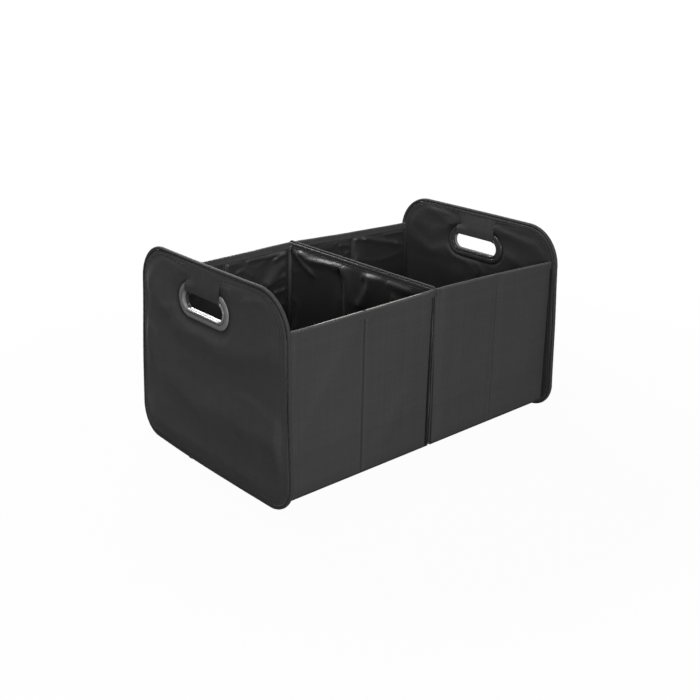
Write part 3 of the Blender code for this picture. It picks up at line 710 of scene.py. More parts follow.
# %% Wall covers
WALL_DENTS = {"left_front": (0.0012, 0.016, 0.016, ((0.085, 0.060), (0.050, 0.110))),
              "right_front": (0.0022, 0.030, 0.040, ((0.196, 0.070), (0.176, 0.130), (0.172, 0.200))),
              "left_back": (0.0018, 0.020, 0.020, ((0.200, 0.090), (0.170, 0.150))),
              "right_back": (0.0020, 0.016, 0.022, ((0.090, 0.150), (0.040, 0.090)))}
ROWS = 96
for side_name, side in SIDES.items():
    for face_name, face in FACES.items():
        name = side_name + "_" + face_name
        top = loose_rim(name, PLAN_X) - 0.0009
        curl = np.linspace(np.pi / 2, 0, 6)[:-1]
        rise = np.linspace(0, 1, ROWS)[:, None]
        foot_z = np.concatenate([WALL_FOOT + TURN * (1 - np.sin(curl))[:, None] + 0 * top,
                                 WALL_FOOT + TURN + (top - WALL_FOOT - TURN) * rise])
        tuck = np.concatenate([TURN * (1 - np.cos(curl)), np.zeros(ROWS)])[:, None]
        low = np.clip((top - 0.02 - foot_z) / 0.17, 0, 1)
        lean = 0.0014 - 0.0037 * (1 - low) ** 1.5
        x = PLAN_X + lean * np.exp(-(PLAN_X - WALL_START + END_PLAY) / 0.005)
        seed = {"left_front": 61, "right_front": 64, "left_back": 67, "right_back": 70}[name]
        inside = fade(np.minimum(x - WALL_START, WALL_END - x), 0.012) * fade(foot_z - WALL_FOOT, 0.012)
        relief = 0.0020 * waves(x, foot_z * 0.6, 0.055, seed) + 0.0005 * waves(x, foot_z, 0.022, seed + 40)
        relief += crease(x, foot_z, (0.020, 0.040), (0.060, 0.150), 0.0007, 0.014, 0.008)
        relief += crease(x, foot_z, (0.150, 0.205), (0.235, 0.080), 0.0012, 0.020, 0.011)
        relief += ridge(x, foot_z, *WALL_DENTS[name])
        relief = relief * inside * fade(np.abs(x - FOLD_X), 0.012)
        past_roll = np.clip(x - WALL_START - 0.014, 0, None)
        relief += 0.0008 * fade(x - WALL_START - ROLL, 0.008) * np.exp(-(past_roll / 0.018) ** 2)
        crooked = x + 0.00035 * (lattice(foot_z, x * 0, 0.03, seed + 3) - 0.5)
        relief += channel(crooked, foot_z, rim_z(x))
        relief -= 0.0006 * np.exp(-((WALL_END - x) / 0.0022) ** 2)
        y = face * (WALL_OUTER - PLAN_DEPTH - tuck + relief * (PLAN_DEPTH == 0))
        points = np.stack([side * x, y, foot_z], -1)
        height = run_length(points, 0)
        flat = np.stack([np.broadcast_to(PLAN_AT, height.shape), height], -1)
        piece = surface(name + "_wall_cover_cloth", points, flat, OUTER, facing=(0, face, 0), thick=0.0006)
        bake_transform(piece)
        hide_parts(name + "_inner_cover", name + "_outer_cover")
        print(piece.name, "relief", round(relief.min() * 1000, 2), "to", round(relief.max() * 1000, 2), "mm")


# %% [markdown]
# A hem of the outer cloth is folded over each wall's upper edge, 10 mm down on both sides, and it crosses
# the fold without a break. It could be a bevelled curve, but then its two flanks would be equal. Here a
# profile in depth and height is carried along the rim, with a roll of its own at the top.

# %% Hems over the rims
HEM_OUT = 0.010
HEM_IN = 0.010
HEM_CLOTH = 0.0005


def hem_profile():
    """The hem's section, from the outside over the top: depth in from its outer face, height under the rim.

    The flanks are straight, the top is a flat arch, and both free edges curl back towards the wall.
    """
    across = WALL_OUTER - WALL_INNER + 2 * (GAP + HEM_CLOTH)
    arch = np.linspace(np.pi, 0, 13)
    roll = 0.0018
    top = [(across / 2 + across / 2 * np.cos(t), -roll * (1 - np.sin(t))) for t in arch]
    outside = [(0.0006, -HEM_OUT - 0.0001), (0.0002, -HEM_OUT)]
    outside += [(0.0, z) for z in np.linspace(-HEM_OUT + 0.0003, -roll, 6, endpoint=False)]
    inside = [(across, z) for z in np.linspace(-roll, -HEM_IN + 0.0003, 12)[1:]]
    inside += [(across - 0.0002, -HEM_IN), (across - 0.0006, -HEM_IN - 0.0001)]
    return np.array(outside + top + inside)


PROFILE = hem_profile()
HEM_AT = run_length(PROFILE, 0)
HEM_X = np.unique(np.round(np.concatenate([np.linspace(HINGE_X - 0.0016, WALL_END - 0.0001, 122),
                                           FOLD_X + np.linspace(-0.0014, 0.0014, 15)]), 6))
for side_name, side in SIDES.items():
    for face_name, face in FACES.items():
        name = side_name + "_" + face_name
        seed = {"left_front": 81, "right_front": 84, "left_back": 87, "right_back": 90}[name]
        x = np.broadcast_to(HEM_X, (len(PROFILE), len(HEM_X)))
        depth, below = PROFILE[:, :1], PROFILE[:, 1:]
        sag = 0.0005 * (lattice(x, x * 0, 0.035, seed) - 0.6) * (below > -0.004)
        loose = 0.0008 * waves(x, below, 0.022, seed + 2) * fade(-below - 0.004, 0.008) * (depth > 0.002)
        z = loose_rim(name, x) + below + sag - 0.0001
        y = face * (WALL_OUTER + GAP + HEM_CLOTH - depth - loose)
        points = np.stack([side * x, y, z], -1)
        flat = flat_grid(HEM_AT, HEM_X)
        piece = surface(name + "_hem_cloth", points, flat, OUTER, facing=(0, 0, 1), thick=HEM_CLOTH * 0.8)
        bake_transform(piece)
        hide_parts(name + "_inner_hem", name + "_outer_hem")
print("hem strip", round(HEM_AT[-1] * 1000, 1), "mm wide when laid flat")


# %% [markdown]
# The walls' linings are loose black cloth, and this is where the photograph shows its brightest creases:
# they fan out from the corners by the divider, where the cloth is gathered. Each panel has its own
# lining, split at the fold.

# %% Wall linings
LINING_FOLDS = {
    "left_back_inner": ((0.0034, 0.0026, 0.0050, ((0.0035, 0.2262), (0.0122, 0.2250), (0.0322, 0.2160))),
                        (0.0026, 0.0018, 0.0040, ((0.0180, 0.2248), (0.0492, 0.2232), (0.0811, 0.2228))),
                        (0.0026, 0.0100, 0.0060, ((0.0100, 0.2060), (0.0321, 0.1918), (0.0450, 0.1850))),
                        (0.0030, 0.0070, 0.0035, ((0.0089, 0.1860), (0.0263, 0.1840), (0.0420, 0.1780))),
                        (0.0022, 0.0030, 0.0040, ((0.0058, 0.1665), (0.0175, 0.1627), (0.0291, 0.1626))),
                        (0.0018, 0.0030, 0.0050, ((0.0757, 0.1986), (0.0907, 0.2105), (0.1000, 0.2090)))),
    "left_back_outer": ((0.0018, 0.0040, 0.0070, ((0.1400, 0.2050), (0.1900, 0.1900))),
                        (0.0020, 0.0050, 0.0080, ((0.2300, 0.2000), (0.2000, 0.1200)))),
    "right_back_inner": ((0.0022, 0.0022, 0.0035, ((0.0980, 0.2175), (0.1213, 0.2128))),
                         (0.0018, 0.0022, 0.0035, ((0.1120, 0.2024), (0.1232, 0.2013))),
                         (0.0022, 0.0040, 0.0060, ((0.0100, 0.2050), (0.0500, 0.1900)))),
    "right_back_outer": ((0.0030, 0.0016, 0.0050, ((0.1262, 0.2240), (0.1400, 0.2225), (0.1522, 0.2192))),
                         (0.0042, 0.0030, 0.0060, ((0.1500, 0.2192), (0.1861, 0.2105), (0.2210, 0.2027))),
                         (0.0024, 0.0024, 0.0050, ((0.2210, 0.2027), (0.2372, 0.1967))),
                         (0.0020, 0.0018, 0.0030, ((0.1957, 0.2205), (0.2375, 0.2195))),
                         (0.0022, 0.0090, 0.0090, ((0.1400, 0.1900), (0.1900, 0.1500)))),
}
LINING_SPAN = {"inner": (WALL_START + 0.0003, FOLD_X - 0.0004), "outer": (FOLD_X + 0.0004, WALL_END - 0.0002)}
LINING_COLUMNS = 62
LINING_ROWS = 106
for side_name, side in SIDES.items():
    for face_name, face in FACES.items():
        for number, part in enumerate(("inner", "outer")):
            name = "_".join((side_name, face_name, part))
            low, high = LINING_SPAN[part]
            seed = 101 + 7 * number + 31 * (side_name == "left") + 57 * (face_name == "front")
            even = np.linspace(0, 1, LINING_COLUMNS)
            across = 0.35 * (1 - np.cos(np.pi * even)) / 2 + 0.65 * even
            x = np.broadcast_to(low + (high - low) * across, (LINING_ROWS, LINING_COLUMNS))
            top = rim_z(x) - 0.0012
            z = WALL_FOOT + 0.0002 + (top - WALL_FOOT - 0.0002) * np.linspace(0, 1, LINING_ROWS)[:, None]
            under_hem = fade(rim_z(x) - HEM_IN + 0.0005 - z, 0.004)
            inside = fade(np.minimum(x - low, high - x), 0.009) * fade(z - WALL_FOOT, 0.010) * under_hem
            relief = 0.0014 * waves(x, z, 0.050, seed) + 0.0016 * crumples(x, z, 0.038, seed + 3)
            for fold in LINING_FOLDS.get(name, ()):
                relief += ridge(x, z, *fold)
            relief = relief * inside
            turned = 0.0012 * (1 - fade(np.minimum(x - low, high - x), 0.0014))
            y = face * (WALL_INNER - relief + turned)
            points = np.stack([side * x, y, z], -1)
            piece = surface(name + "_lining_cloth", points, np.stack([x, z], -1), LINING,
                            facing=(0, -face, 0), thick=0.0004)
            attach(piece, name)
            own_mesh(piece)
            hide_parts(name + "_lining")
print("linings", LINING_COLUMNS, "by", LINING_ROWS, "points each")


# %% [markdown]
# The divider is one board with a loose lining on both faces. Its left face is the most creased part of
# the whole photograph: two bright folds fan out from the back corner, a ridge runs down the middle, and
# short puckers hang in front of it. Each follows a line of corner points, and its two flanks have widths
# of their own. The faces are pressed flat with their own half.

# %% Divider cloths
DIVIDER_FOLDS = {
    "left": ((0.0040, 0.0026, 0.0070, ((0.1440, 0.2281), (0.1272, 0.2199), (0.1128, 0.2114),
                                       (0.0950, 0.2039))),
             (0.0044, 0.0030, 0.0060, ((0.1220, 0.2269), (0.1059, 0.2212), (0.0816, 0.2228),
                                       (0.0445, 0.2262))),
             (0.0046, 0.0030, 0.0050, ((0.0445, 0.2262), (0.0314, 0.2272), (0.0239, 0.2184))),
             (0.0036, 0.0160, 0.0040, ((0.0239, 0.2184), (0.0189, 0.1948), (0.0166, 0.1749),
                                       (0.0140, 0.1300))),
             (0.0024, 0.0036, 0.0060, ((-0.0152, 0.2232), (-0.0321, 0.2251), (-0.0503, 0.2272))),
             (0.0034, 0.0080, 0.0070, ((-0.0383, 0.2233), (-0.0237, 0.2032), (-0.0121, 0.1802))),
             (0.0024, 0.0036, 0.0070, ((-0.0690, 0.2250), (-0.0859, 0.2250), (-0.1090, 0.2246))),
             (0.0030, 0.0080, 0.0060, ((-0.0800, 0.2050), (-0.1150, 0.1900)))),
    "right": ((0.0032, 0.0040, 0.0060, ((0.1400, 0.2240), (0.1150, 0.2000))),
              (0.0032, 0.0040, 0.0060, ((-0.1400, 0.2240), (-0.1050, 0.1960))),
              (0.0024, 0.0060, 0.0080, ((0.0600, 0.2100), (0.0400, 0.1650))),
              (0.0026, 0.0060, 0.0060, ((-0.0300, 0.2150), (-0.0100, 0.1750)))),
}
DIVIDER_FOOT_RADIUS = 0.016
DIVIDER_TOP_RADIUS = 0.007
for side_name, side in SIDES.items():
    inset = DIVIDER_PIPING + 0.0001
    foot, top = DIVIDER_FOOT + inset, DIVIDER_TOP - inset
    across = np.linspace(-1, 1, 142)
    z = foot + (top - foot) * np.linspace(0, 1, 104)[:, None] + 0 * across
    radius = DIVIDER_FOOT_RADIUS - inset
    drop = np.clip(radius - (z - foot), 0, radius)
    half = DIVIDER_HALF - inset - radius + np.sqrt(radius ** 2 - drop ** 2)
    y = across * half
    from_edge = np.minimum(np.minimum(z - foot, top - z), WALL_INNER - 0.001 - np.abs(y))
    seed = {"left": 141, "right": 151}[side_name]
    relief = 0.0016 * waves(y, z, 0.052, seed) + 0.0018 * crumples(y, z, 0.040, seed + 3)
    for fold in DIVIDER_FOLDS[side_name]:
        relief += ridge(y, z, *fold)
    held = fade(from_edge - 0.001, 0.008) * fade(DIVIDER_TOP - 0.0105 - z, 0.003)
    relief = np.clip(relief, 0, 0.0065) * held
    tucked = 0.0005 * (1 - fade(np.minimum(top - z, inset + half - np.abs(y)), 0.0020))
    x = side * (DIVIDER_FACE + relief - tucked)
    piece = surface(side_name + "_divider_cloth", np.stack([x, y, z], -1), np.stack([y, z], -1), LINING,
                    facing=(side, 0, 0), thick=0.0006)
    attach(piece, "divider")
    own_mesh(piece)
    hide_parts("divider_" + side_name + "_cloth")
    print(piece.name, "relief up to", round(relief.max() * 1000, 2), "mm")


# %% [markdown]
# The divider's piping is the thin bright line between the two halves. It is the same tube as before, on
# the divider's outline, whose upper corners are small and whose lower ones are wide.

# %% Divider piping
def divider_outline(count):
    """The divider's edge as (y, z): straight sides, upper corners of 7 mm and lower corners of 16 mm."""
    foot = DIVIDER_HALF, DIVIDER_FOOT_RADIUS, DIVIDER_FOOT
    return round_cornered(foot, (DIVIDER_HALF, DIVIDER_TOP_RADIUS, DIVIDER_TOP), count, 40)


def sway(y, z):
    """How far the piping strays to the side: a slow wave up each edge."""
    return 0.0003 * np.sin(z * 60) * np.sign(y)


piece = piping("divider_binding", divider_outline(620), sway, 0.0029, 0.0030,
               [((-DIVIDER_HALF + 0.003, 0.013), 0.50), ((-DIVIDER_HALF, DIVIDER_TOP - 0.004), 0.25)], 57)
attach(piece, "divider")
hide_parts("divider_piping")


# %% [markdown]
# Each compartment has a sewn cloth bottom. It hangs from the walls' foot, slopes down over 45 mm and lies
# on the ground in its middle. The photograph doesn't show it, so its form follows the CAD, with soft
# wrinkles added.

# %% Bottoms
BOTTOM_SLOPE = 0.045
for side_name, side in SIDES.items():
    start, edge_z, thick = 0.0026, WALL_FOOT - GAP, 0.0009
    u, v = np.meshgrid(np.linspace(0, 1, 98), np.linspace(-1, 1, 122))
    y = v * WALL_OUTER
    stop = HALF_LENGTH - LINING_FACE - 0.0004 + bow(y)
    x = start + (stop - start) * u
    inwards = np.minimum(np.minimum(x - start, stop - x), WALL_OUTER - np.abs(y))
    lies = fade(inwards, BOTTOM_SLOPE)
    relief = 0.0011 * waves(x, y, 0.05, 171) + 0.0012 * crumples(x, y, 0.04, 175)
    z = edge_z - (edge_z - thick) * lies + relief * lies
    piece = surface(side_name + "_bottom_cloth", np.stack([side * x, y, z], -1), np.stack([x, y], -1),
                    LINING, facing=(0, 0, 1), thick=thick)
    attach(piece, "divider")
    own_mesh(piece)
    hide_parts(side_name + "_bottom")
print("bottoms slope over", BOTTOM_SLOPE, "m")


# %% [markdown]
# Where a wall meets the divider or an end panel, only cloth joins them. A short lip stands on the divider
# or the end panel and ends in a rolled edge exactly on the hinge's axis, so it closes the corner at rest,
# and it still touches the wall at every angle. Blending would work too, but a lip this short bends no
# more than its own roll. The front lips are painted black, as painted shade, because no light gets into
# the real gap. Those at the back are seen from inside, where the lining runs on into the corner.

# %% Hinge lips
LIP_FOOT = WALL_FOOT + 0.0005
UNDER_RIM = 0.002
LIP_RADIUS = 0.0004


def lip(name, from_x, to_x, y, low, high, body, deep=0.0):
    """A strip from from_x to a rounded edge round the axis at to_x: a capsule section carried upwards."""
    turn = np.linspace(-np.pi / 2, np.pi / 2, 7)
    way = np.sign(to_x - from_x)
    back = -np.sign(y) * deep
    tip = np.stack([to_x + way * LIP_RADIUS * np.cos(turn), LIP_RADIUS * np.sin(turn)], -1)
    root = np.stack([from_x + 0 * turn[:3], back + LIP_RADIUS * np.linspace(1, -1, 3)], -1)
    section = np.concatenate([tip, root])
    z = np.linspace(low, high, 40)
    shape = (len(z), len(section))
    points = np.stack([np.broadcast_to(section[:, 0], shape), y + np.broadcast_to(section[:, 1], shape),
                       np.broadcast_to(z[:, None], shape)], -1)
    caps = np.concatenate([np.broadcast_to(points[:1].mean(1, keepdims=True), (1, 10, 3)), points,
                           np.broadcast_to(points[-1:].mean(1, keepdims=True), (1, 10, 3))])
    flat = flat_grid(np.concatenate([[low], z, [high]]), np.linspace(0, 0.006, 11))
    # Painted shade: front lips (y < 0) get the near-black cloth, because the gap there is only shade.
    piece = surface(name, caps, flat, PAINTED_SHADE_CLOTH if y < 0 else LINING, (False, True))
    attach(piece, body)
    return piece


for side_name, side in SIDES.items():
    for face_name, face in FACES.items():
        name = side_name + "_" + face_name
        lip(name + "_divider_lip", side * 0.0012, side * HINGE_X, face * WALL_INNER, LIP_FOOT,
            RIM_AT_DIVIDER - UNDER_RIM, "divider", 0.006)
        lip(name + "_wall_lip", side * (WALL_START + 0.0006), side * (HINGE_X + 0.0003),
            face * (WALL_INNER + 0.0003), LIP_FOOT, RIM_AT_DIVIDER - UNDER_RIM, name + "_inner")
        lip(name + "_end_lip", side * (HALF_LENGTH - 0.0014), side * END_HINGE_X, face * WALL_INNER,
            LIP_FOOT, RIM_AT_END - HEM_OUT - UNDER_RIM, side_name + "_end")


# %% [markdown]
# Seams are sewn with a thread that is nearly as dark as the cloth. Drawn in a bump map they would vanish
# at a glancing view, and they are what tells a sewn thing from a moulded one. So each stitch is a small
# rounded stick, laid along a path on the finished surface and half sunk in it.

# %% Stitches
PITCH = 0.0044
STITCH = 0.0031
THREAD_RADIUS = 0.00034
SEAM_INSET = 0.0072


def stitches(name, path, facing, body):
    """One mesh of stitches along a path of points, a fixed pitch apart."""
    middle = np.arange(PITCH / 2, run_length(path, 0)[-1] - PITCH / 2, PITCH)
    start, stop = points_at(path, middle - STITCH / 2), points_at(path, middle + STITCH / 2)
    along = stop - start
    across = np.cross(along, facing)
    across /= np.linalg.norm(across, axis=1)[:, None]
    up = np.cross(across, along)
    up /= np.linalg.norm(up, axis=1)[:, None]
    turn = np.linspace(0, 2 * np.pi, 6, endpoint=False)
    ring = across[:, None] * np.cos(turn)[:, None] + up[:, None] * np.sin(turn)[:, None]
    share, width = np.array([0.0, 0.12, 0.5, 0.88, 1.0]), np.array([0.3, 0.85, 1.0, 0.85, 0.3])
    points = (start[:, None, None] + along[:, None, None] * share[:, None, None]
              + ring[:, None] * THREAD_RADIUS * width[:, None, None])
    r, c = np.divmod(np.arange(24), 6)
    beside = (c + 1) % 6
    quads = np.stack([6 * r + c, 6 * r + 6 + c, 6 * r + 6 + beside, 6 * r + beside], -1)
    caps = np.array([range(6), range(29, 23, -1)])
    first = 30 * np.arange(len(middle))[:, None, None]
    faces = (first + quads).reshape(-1, 4).tolist() + (first + caps).reshape(-1, 6).tolist()
    mesh = bpy.data.meshes.new(name)
    mesh.from_pydata(points.reshape(-1, 3), [], faces)
    mesh.uv_layers.new(name="cloth")
    mesh.shade_smooth()
    mesh.materials.append(THREAD)
    piece = add_object(name, mesh)
    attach(piece, body)
    return len(middle)


def seam_in(side_name, side, face, sign, relief_at):
    """The path on an end panel's cloth at a fixed distance from its edge, read off the panel's own grid."""
    y, z, from_handle, from_edge = end_grid(side_name)
    relief = relief_at(side_name, y, z, from_handle, from_edge)
    x = side * (HALF_LENGTH + bow(y) + sign * (face + relief))
    path = [[np.interp(-SEAM_INSET, -from_edge[:, ray], grid[:, ray]) for grid in (x, y, z)]
            for ray in range(RAYS)]
    return np.array(path + path[:1])


sewn = 0
for side_name, side in SIDES.items():
    outer_path = seam_in(side_name, side, COVER_FACE, 1, cover_relief)
    inner_path = seam_in(side_name, side, LINING_FACE, -1, lining_relief)
    sewn += stitches(side_name + "_end_cover_stitches", outer_path, (side, 0, 0), side_name + "_end")
    sewn += stitches(side_name + "_end_lining_stitches", inner_path, (-side, 0, 0), side_name + "_end")
    rim_y = np.linspace(-WALL_INNER + 0.004, WALL_INNER - 0.004, 40)
    rim = np.stack([rim_y * 0 + side * (DIVIDER_FACE + 0.0001), rim_y, rim_y * 0 + DIVIDER_TOP - 0.0092], -1)
    sewn += stitches(side_name + "_divider_stitches", rim, (side, 0, 0), "divider")
    for face_name, face in FACES.items():
        name = side_name + "_" + face_name
        for part, low, high in (("inner", WALL_START + 0.002, FOLD_X - 0.002),
                                ("outer", FOLD_X + 0.002, WALL_END - 0.001)):
            x = np.linspace(low, high, 30)
            z = loose_rim(name, x) - HEM_OUT + 0.0016
            outside = np.stack([side * x, face * (WALL_OUTER + GAP + HEM_CLOTH + 0 * x), z], -1)
            sewn += stitches(name + "_" + part + "_hem_stitches", outside, (0, face, 0), name + "_" + part)
print("stitches", sewn)


# %% [markdown]
# The handle is a moulded oval in two parts that snap together through the panel. Outside there is a broad
# satin flange with a raised, polished lip at the opening, and inside a narrower ring holds it. Both are
# one section carried round a stadium. The opening's walls are part of the outer one, as on the real
# moulding.

# %% Handle rings
def handle_planes(side_name):
    """Places of both flanges' backs along the outward direction, as the CAD has them."""
    shift = HANDLE_Y[side_name]
    far = HANDLE_STRAIGHT + FLANGE_RADIUS
    outer = COVER_FACE + float(bow(shift)) + GAP
    inner = -LINING_FACE + min(float(bow(shift - far)), float(bow(shift + far))) - GAP
    return outer, inner


def ring_section(points, per_corner=5):
    """A closed section of (radius, outwards, rounding) corners, each rounded by a short curve.

    Each corner becomes a quadratic curve from the point before it to the point after it, at the rounding's
    distance: (1-t)^2 a + 2 t (1-t) corner + t^2 b.
    """
    corners = np.array([p[:2] for p in points], float)
    rounding = np.array([p[2] for p in points], float)[:, None]
    before, after = np.roll(corners, 1, 0) - corners, np.roll(corners, -1, 0) - corners
    a = corners + before / np.hypot(*before.T)[:, None] * rounding
    b = corners + after / np.hypot(*after.T)[:, None] * rounding
    t = np.linspace(0, 1, per_corner)[:, None, None]
    return ((1 - t) ** 2 * a + 2 * t * (1 - t) * corners + t ** 2 * b).transpose(1, 0, 2).reshape(-1, 2)


def ring(name, side_name, side, section, node_name, material):
    """Carry a section round the handle's stadium."""
    count = 220
    turn_path = oval(1.0, count, straight=HANDLE_STRAIGHT)
    core = turn_path * (1, 0)
    core[:, 0] = np.clip(core[:, 0], -HANDLE_STRAIGHT, HANDLE_STRAIGHT)
    unit = turn_path - core
    radius, outwards = section[:, 0], section[:, 1]
    plane = core[:, None] + unit[:, None] * radius[None, :, None]
    points = np.stack([side * (HALF_LENGTH + np.broadcast_to(outwards, plane.shape[:2])),
                       plane[..., 0] + HANDLE_Y[side_name], plane[..., 1] + HANDLE_Z], -1)
    around = np.linspace(0, 0.27, count + 1)
    flat = flat_grid(around, np.linspace(0, 0.04, len(section) + 1))
    piece = surface(name, points, flat, material, (True, True))
    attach(piece, side_name + "_end")
    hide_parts(node_name)
    return piece


for side_name, side in SIDES.items():
    outer, inner = handle_planes(side_name)
    face = outer + FLANGE_THICK
    inner_face = inner - FLANGE_THICK
    middle = outer - 0.0022
    section = ring_section([(OPENING_RADIUS + 0.0003, middle, 0.0004),
                            (OPENING_RADIUS, face + 0.0006, 0.0012),
                            (OPENING_RADIUS + 0.0026, face + 0.0006, 0.0011),
                            (OPENING_RADIUS + 0.0030, face - 0.0012, 0.0004),
                            (OPENING_RADIUS + 0.0040, face - 0.0012, 0.0004),
                            (OPENING_RADIUS + 0.0044, face - 0.0001, 0.0004),
                            (FLANGE_RADIUS - 0.0026, face - 0.0001, 0.0014),
                            (FLANGE_RADIUS, face - 0.0013, 0.0007),
                            (FLANGE_RADIUS, outer, 0.0002),
                            (OPENING_RADIUS + 0.0015, outer, 0.0001),
                            (OPENING_RADIUS + 0.0015, middle, 0.0003)])
    ring(side_name + "_handle_ring", side_name, side, section, side_name + "_end_handle_outer_ring", HANDLE)
    section = ring_section([(OPENING_RADIUS + 0.0018, middle - 0.0006, 0.0002),
                            (OPENING_RADIUS + 0.0006, middle - 0.0006, 0.0004),
                            (OPENING_RADIUS + 0.0004, inner_face, 0.0010),
                            (OPENING_RADIUS + 0.0030, inner_face - 0.0002, 0.0009),
                            (OPENING_RADIUS + 0.0036, inner_face + 0.0007, 0.0004),
                            (OPENING_RADIUS + 0.0046, inner_face + 0.0007, 0.0004),
                            (OPENING_RADIUS + 0.0052, inner_face + 0.0001, 0.0004),
                            (FLANGE_RADIUS - 0.0020, inner_face + 0.0002, 0.0010),
                            (FLANGE_RADIUS, inner_face + 0.0012, 0.0007),
                            (FLANGE_RADIUS, inner, 0.0002),
                            (OPENING_RADIUS + 0.0018, inner, 0.0002)])
    ring(side_name + "_handle_inner_ring", side_name, side, section, side_name + "_end_handle_inner_ring",
         INNER_HANDLE)


# %% [markdown]
# A strip of the outer cloth is wrapped round the handle's upper bar. It starts in a sewn strip above the
# flange, crosses it, turns under the bar and climbs up again inside. Its back end is sewn down, and its
# front end is an open slit, the dark line above the handle in the photograph. A black strip in the slit
# is painted shade for its depth.

# %% Handle wraps
WRAP_HALF = 0.038
WRAP_TOP = 0.272
WRAP_SEAM = 0.267
WRAP_SLOPE_Z = 0.247


def smooth_path(points, count):
    """A soft line through corner points: three times each corner is cut at a quarter of its sides."""
    path = np.array(points, float)
    for _ in range(3):
        cut = np.empty((2 * len(path) - 2, 2))
        cut[0::2] = 0.75 * path[:-1] + 0.25 * path[1:]
        cut[1::2] = 0.25 * path[:-1] + 0.75 * path[1:]
        path = np.concatenate([path[:1], cut, path[-1:]])
    return points_at(path, np.linspace(0, run_length(path, 0)[-1], count))


for side_name, side in SIDES.items():
    shift = HANDLE_Y[side_name]
    outer, inner = handle_planes(side_name)
    lift = float(min(bow(shift - WRAP_HALF), bow(shift + WRAP_HALF)))
    over_outer = outer + FLANGE_THICK + 0.0004 - lift
    over_inner = inner - FLANGE_THICK - 0.0004 - float(bow(shift))
    bend = HANDLE_Z + OPENING_RADIUS - 0.0003
    path = smooth_path([(COVER_FACE - 0.0009, WRAP_TOP), (COVER_FACE + 0.0006, WRAP_SEAM - 0.002),
                        (over_outer, WRAP_SLOPE_Z + 0.001), (over_outer + 0.0001, bend + 0.0045),
                        (over_outer, bend), (0.0, bend - 0.0001), (over_inner, bend),
                        (over_inner - 0.0001, bend + 0.0045), (over_inner, WRAP_SLOPE_Z + 0.001),
                        (-LINING_FACE - 0.0006, WRAP_SEAM - 0.002), (-LINING_FACE + 0.0009, WRAP_TOP)], 110)
    along = WRAP_HALF * np.sin(np.linspace(-np.pi / 2, np.pi / 2, 61))
    past = np.clip(np.abs(along) - HANDLE_STRAIGHT, 0, None)
    fall = OPENING_RADIUS - np.sqrt(OPENING_RADIUS ** 2 - past ** 2)
    outwards, z = path[:, :1], path[:, 1:]
    y = along + shift
    drop = fall * (1 - fade(z - HANDLE_Z - OPENING_RADIUS, 0.010))
    soft = waves(y + 0 * z, z + 0 * y, 0.018, 191)
    outer_side = np.sign(outwards) * 0.0005 * soft * fade(z - bend - 0.004, 0.01)
    merge = fade(along - 0.012, 0.026) * fade(z - WRAP_SLOPE_Z + 0.003, 0.010)
    cloth_face = np.where(outwards > 0, COVER_FACE - 0.0008, -LINING_FACE + 0.0008)
    outwards = outwards + (cloth_face - outwards) * merge
    x = side * (HALF_LENGTH + outwards + outer_side + bow(y))
    points = np.stack([x, np.broadcast_to(y, x.shape), z - drop], -1)
    run = run_length(points, 0)
    flat = np.stack([np.broadcast_to(along, run.shape), run], -1)
    piece = surface(side_name + "_handle_wrap_cloth", points, flat, WRAP, facing=(0, 0, -1), thick=-0.0006)
    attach(piece, side_name + "_end")
    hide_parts(side_name + "_end_handle_wrap")
    print(piece.name, "run", round(float(run[-1].mean()), 4), "m")
    for face_name, sign, base in (("outer", 1, COVER_FACE), ("inner", -1, LINING_FACE)):
        half = path[:55] if sign > 0 else path[:54:-1]
        half = half[(half[:, 1] > bend + 0.004) & (half[:, 1] < WRAP_SEAM)]
        under_wrap = np.maximum(np.abs(half[:, 0]) - 0.0003, base + 0.0003)
        depths = np.stack([np.full(len(half), base + 0.0002), under_wrap], -1)
        slit_y = shift - WRAP_HALF + 0.0007
        slit = np.stack([side * (HALF_LENGTH + sign * depths + float(bow(slit_y))),
                         np.full(depths.shape, slit_y), np.broadcast_to(half[:, 1:], depths.shape)], -1)
        # Painted shade: a near-black strip stands in the slit, where there is only shade.
        piece = surface(side_name + "_" + face_name + "_wrap_slit_painted_shade", slit,
                        flat_grid(half[:, 1], [0.0, 0.003]), PAINTED_SHADE_CLOTH, facing=(0, -1, 0), thick=0.0003)
        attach(piece, side_name + "_end")


# %% [markdown]
# The photograph was taken on a white table, with one soft lamp low in front, weak light from above and a
# lamp behind that draws the bright rims. The floor is white to the camera alone, by Light Path, and grey
# to the lamps, so that it throws little light up on the dark cloth. Near the object the camera also sees a
# twentieth of the grey, which leaves a faint shadow at the foot. Glossy rays are left out of the white as
# well: there is no metal or glass here to mirror it, and dark cloth would turn grey at a glance. A colour
# renders about as it is written. The camera is the photograph's, worked out from measured corner points:
# its optical axis lies above the middle of the picture, which the vertical shift repeats.

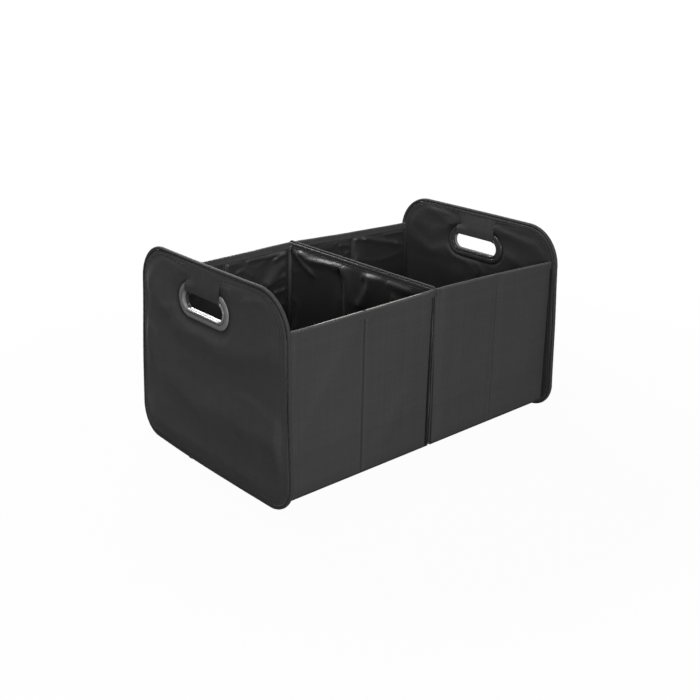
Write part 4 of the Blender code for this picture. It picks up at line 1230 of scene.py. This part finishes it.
# %% Floor and world
def make_floor():
    material, tree, shader = principled("white_table")
    shader.inputs["Base Color"].default_value = (0.18, 0.18, 0.18, 1)
    shader.inputs["Roughness"].default_value = 0.8
    shader.inputs["Specular IOR Level"].default_value = 0.1
    seen = node(tree, "ShaderNodeLightPath").outputs
    glow = node(tree, "ShaderNodeEmission", {"Color": (1, 1, 1, 1), "Strength": 1.02})
    place = node(tree, "ShaderNodeTexCoord").outputs["Object"]
    away = node(tree, "ShaderNodeVectorMath", {0: place}, operation="LENGTH").outputs["Value"]
    far = node(tree, "ShaderNodeMapRange", {"Value": away, "From Min": 0.45, "From Max": 1.3, "To Min": 0.95,
                                            "To Max": 1.0}).outputs[0]
    share = calc(tree, "MULTIPLY", seen["Is Camera Ray"], far)
    mix = node(tree, "ShaderNodeMixShader", {0: share})
    tree.links.new(shader.outputs[0], mix.inputs[1])
    tree.links.new(glow.outputs[0], mix.inputs[2])
    tree.links.new(mix.outputs[0], tree.nodes["Material Output"].inputs[0])
    mesh = bpy.data.meshes.new("floor")
    corners = [(30 * a, 30 * b, -0.0003) for a, b in ((-1, -1), (1, -1), (1, 1), (-1, 1))]
    mesh.from_pydata(corners, [], [(0, 1, 2, 3)])
    mesh.materials.append(material)
    floor = add_object("floor", mesh)


def make_world(level):
    """White to the camera and to transmission rays, and a plain level of light to everything else."""
    world = bpy.data.worlds.new("studio")
    bpy.context.scene.world = world
    world.use_nodes = True
    tree = world.node_tree
    seen = node(tree, "ShaderNodeLightPath").outputs
    clear = calc(tree, "MAXIMUM", seen["Is Camera Ray"], seen["Is Transmission Ray"])
    strength = calc(tree, "MULTIPLY_ADD", clear, 1.0 - level, level)
    tree.links.new(strength, tree.nodes["Background"].inputs["Strength"])
    tree.nodes["Background"].inputs["Color"].default_value = (1, 1, 1, 1)


make_floor()
make_world(0.03)


# %% Lamps and camera
def lamp(name, place, target, size, power):
    light = bpy.data.lights.new(name, "AREA")
    light.shape = "RECTANGLE"
    light.size, light.size_y = size
    light.energy = power
    obj = add_object(name, light)
    obj.location = place
    obj.rotation_euler = (Vector(target) - Vector(place)).to_track_quat("-Z", "Y").to_euler()


lamp("left_softbox", (-0.45, 0.0, 1.60), (-0.1, 0, 0.1), (0.5, 0.7), 17.0)
lamp("right_softbox", (0.55, -0.35, 1.50), (0.1, 0, 0.15), (0.7, 0.7), 4.0)
lamp("back_softbox", (0.35, 1.7, 1.3), (0, 0, 0.15), (1.6, 0.6), 66.0)
lamp("front_softbox", (-0.85, -2.1, 0.72), (0, 0, 0.12), (0.8, 0.6), 46.5)

EYE = Vector((-0.9360, -1.0168, 0.6340))
YAW, PITCH, ROLL = np.radians((47.827, -14.972, 1.35))
FOCAL_PIXELS, PICTURE = 1013.74, 700
SENSOR = 36.0
AXIS_ABOVE_MIDDLE = 0.15
ahead = Vector((np.cos(PITCH) * np.cos(YAW), np.cos(PITCH) * np.sin(YAW), np.sin(PITCH)))
level_right = Vector((np.sin(YAW), -np.cos(YAW), 0.0))
level_up = level_right.cross(ahead)
right = np.cos(ROLL) * level_right + np.sin(ROLL) * level_up
up = -np.sin(ROLL) * level_right + np.cos(ROLL) * level_up
camera = add_object("camera", bpy.data.cameras.new("camera"))
camera.matrix_world = Matrix((right, up, -ahead)).transposed().to_4x4()
camera.location = EYE
camera.data.sensor_width = SENSOR
camera.data.lens = SENSOR * FOCAL_PIXELS / PICTURE
camera.data.shift_y = -AXIS_ABOVE_MIDDLE
bpy.context.scene.camera = camera
bpy.context.scene.view_settings.view_transform = "Standard"
print("camera lens", round(camera.data.lens, 2), "mm")
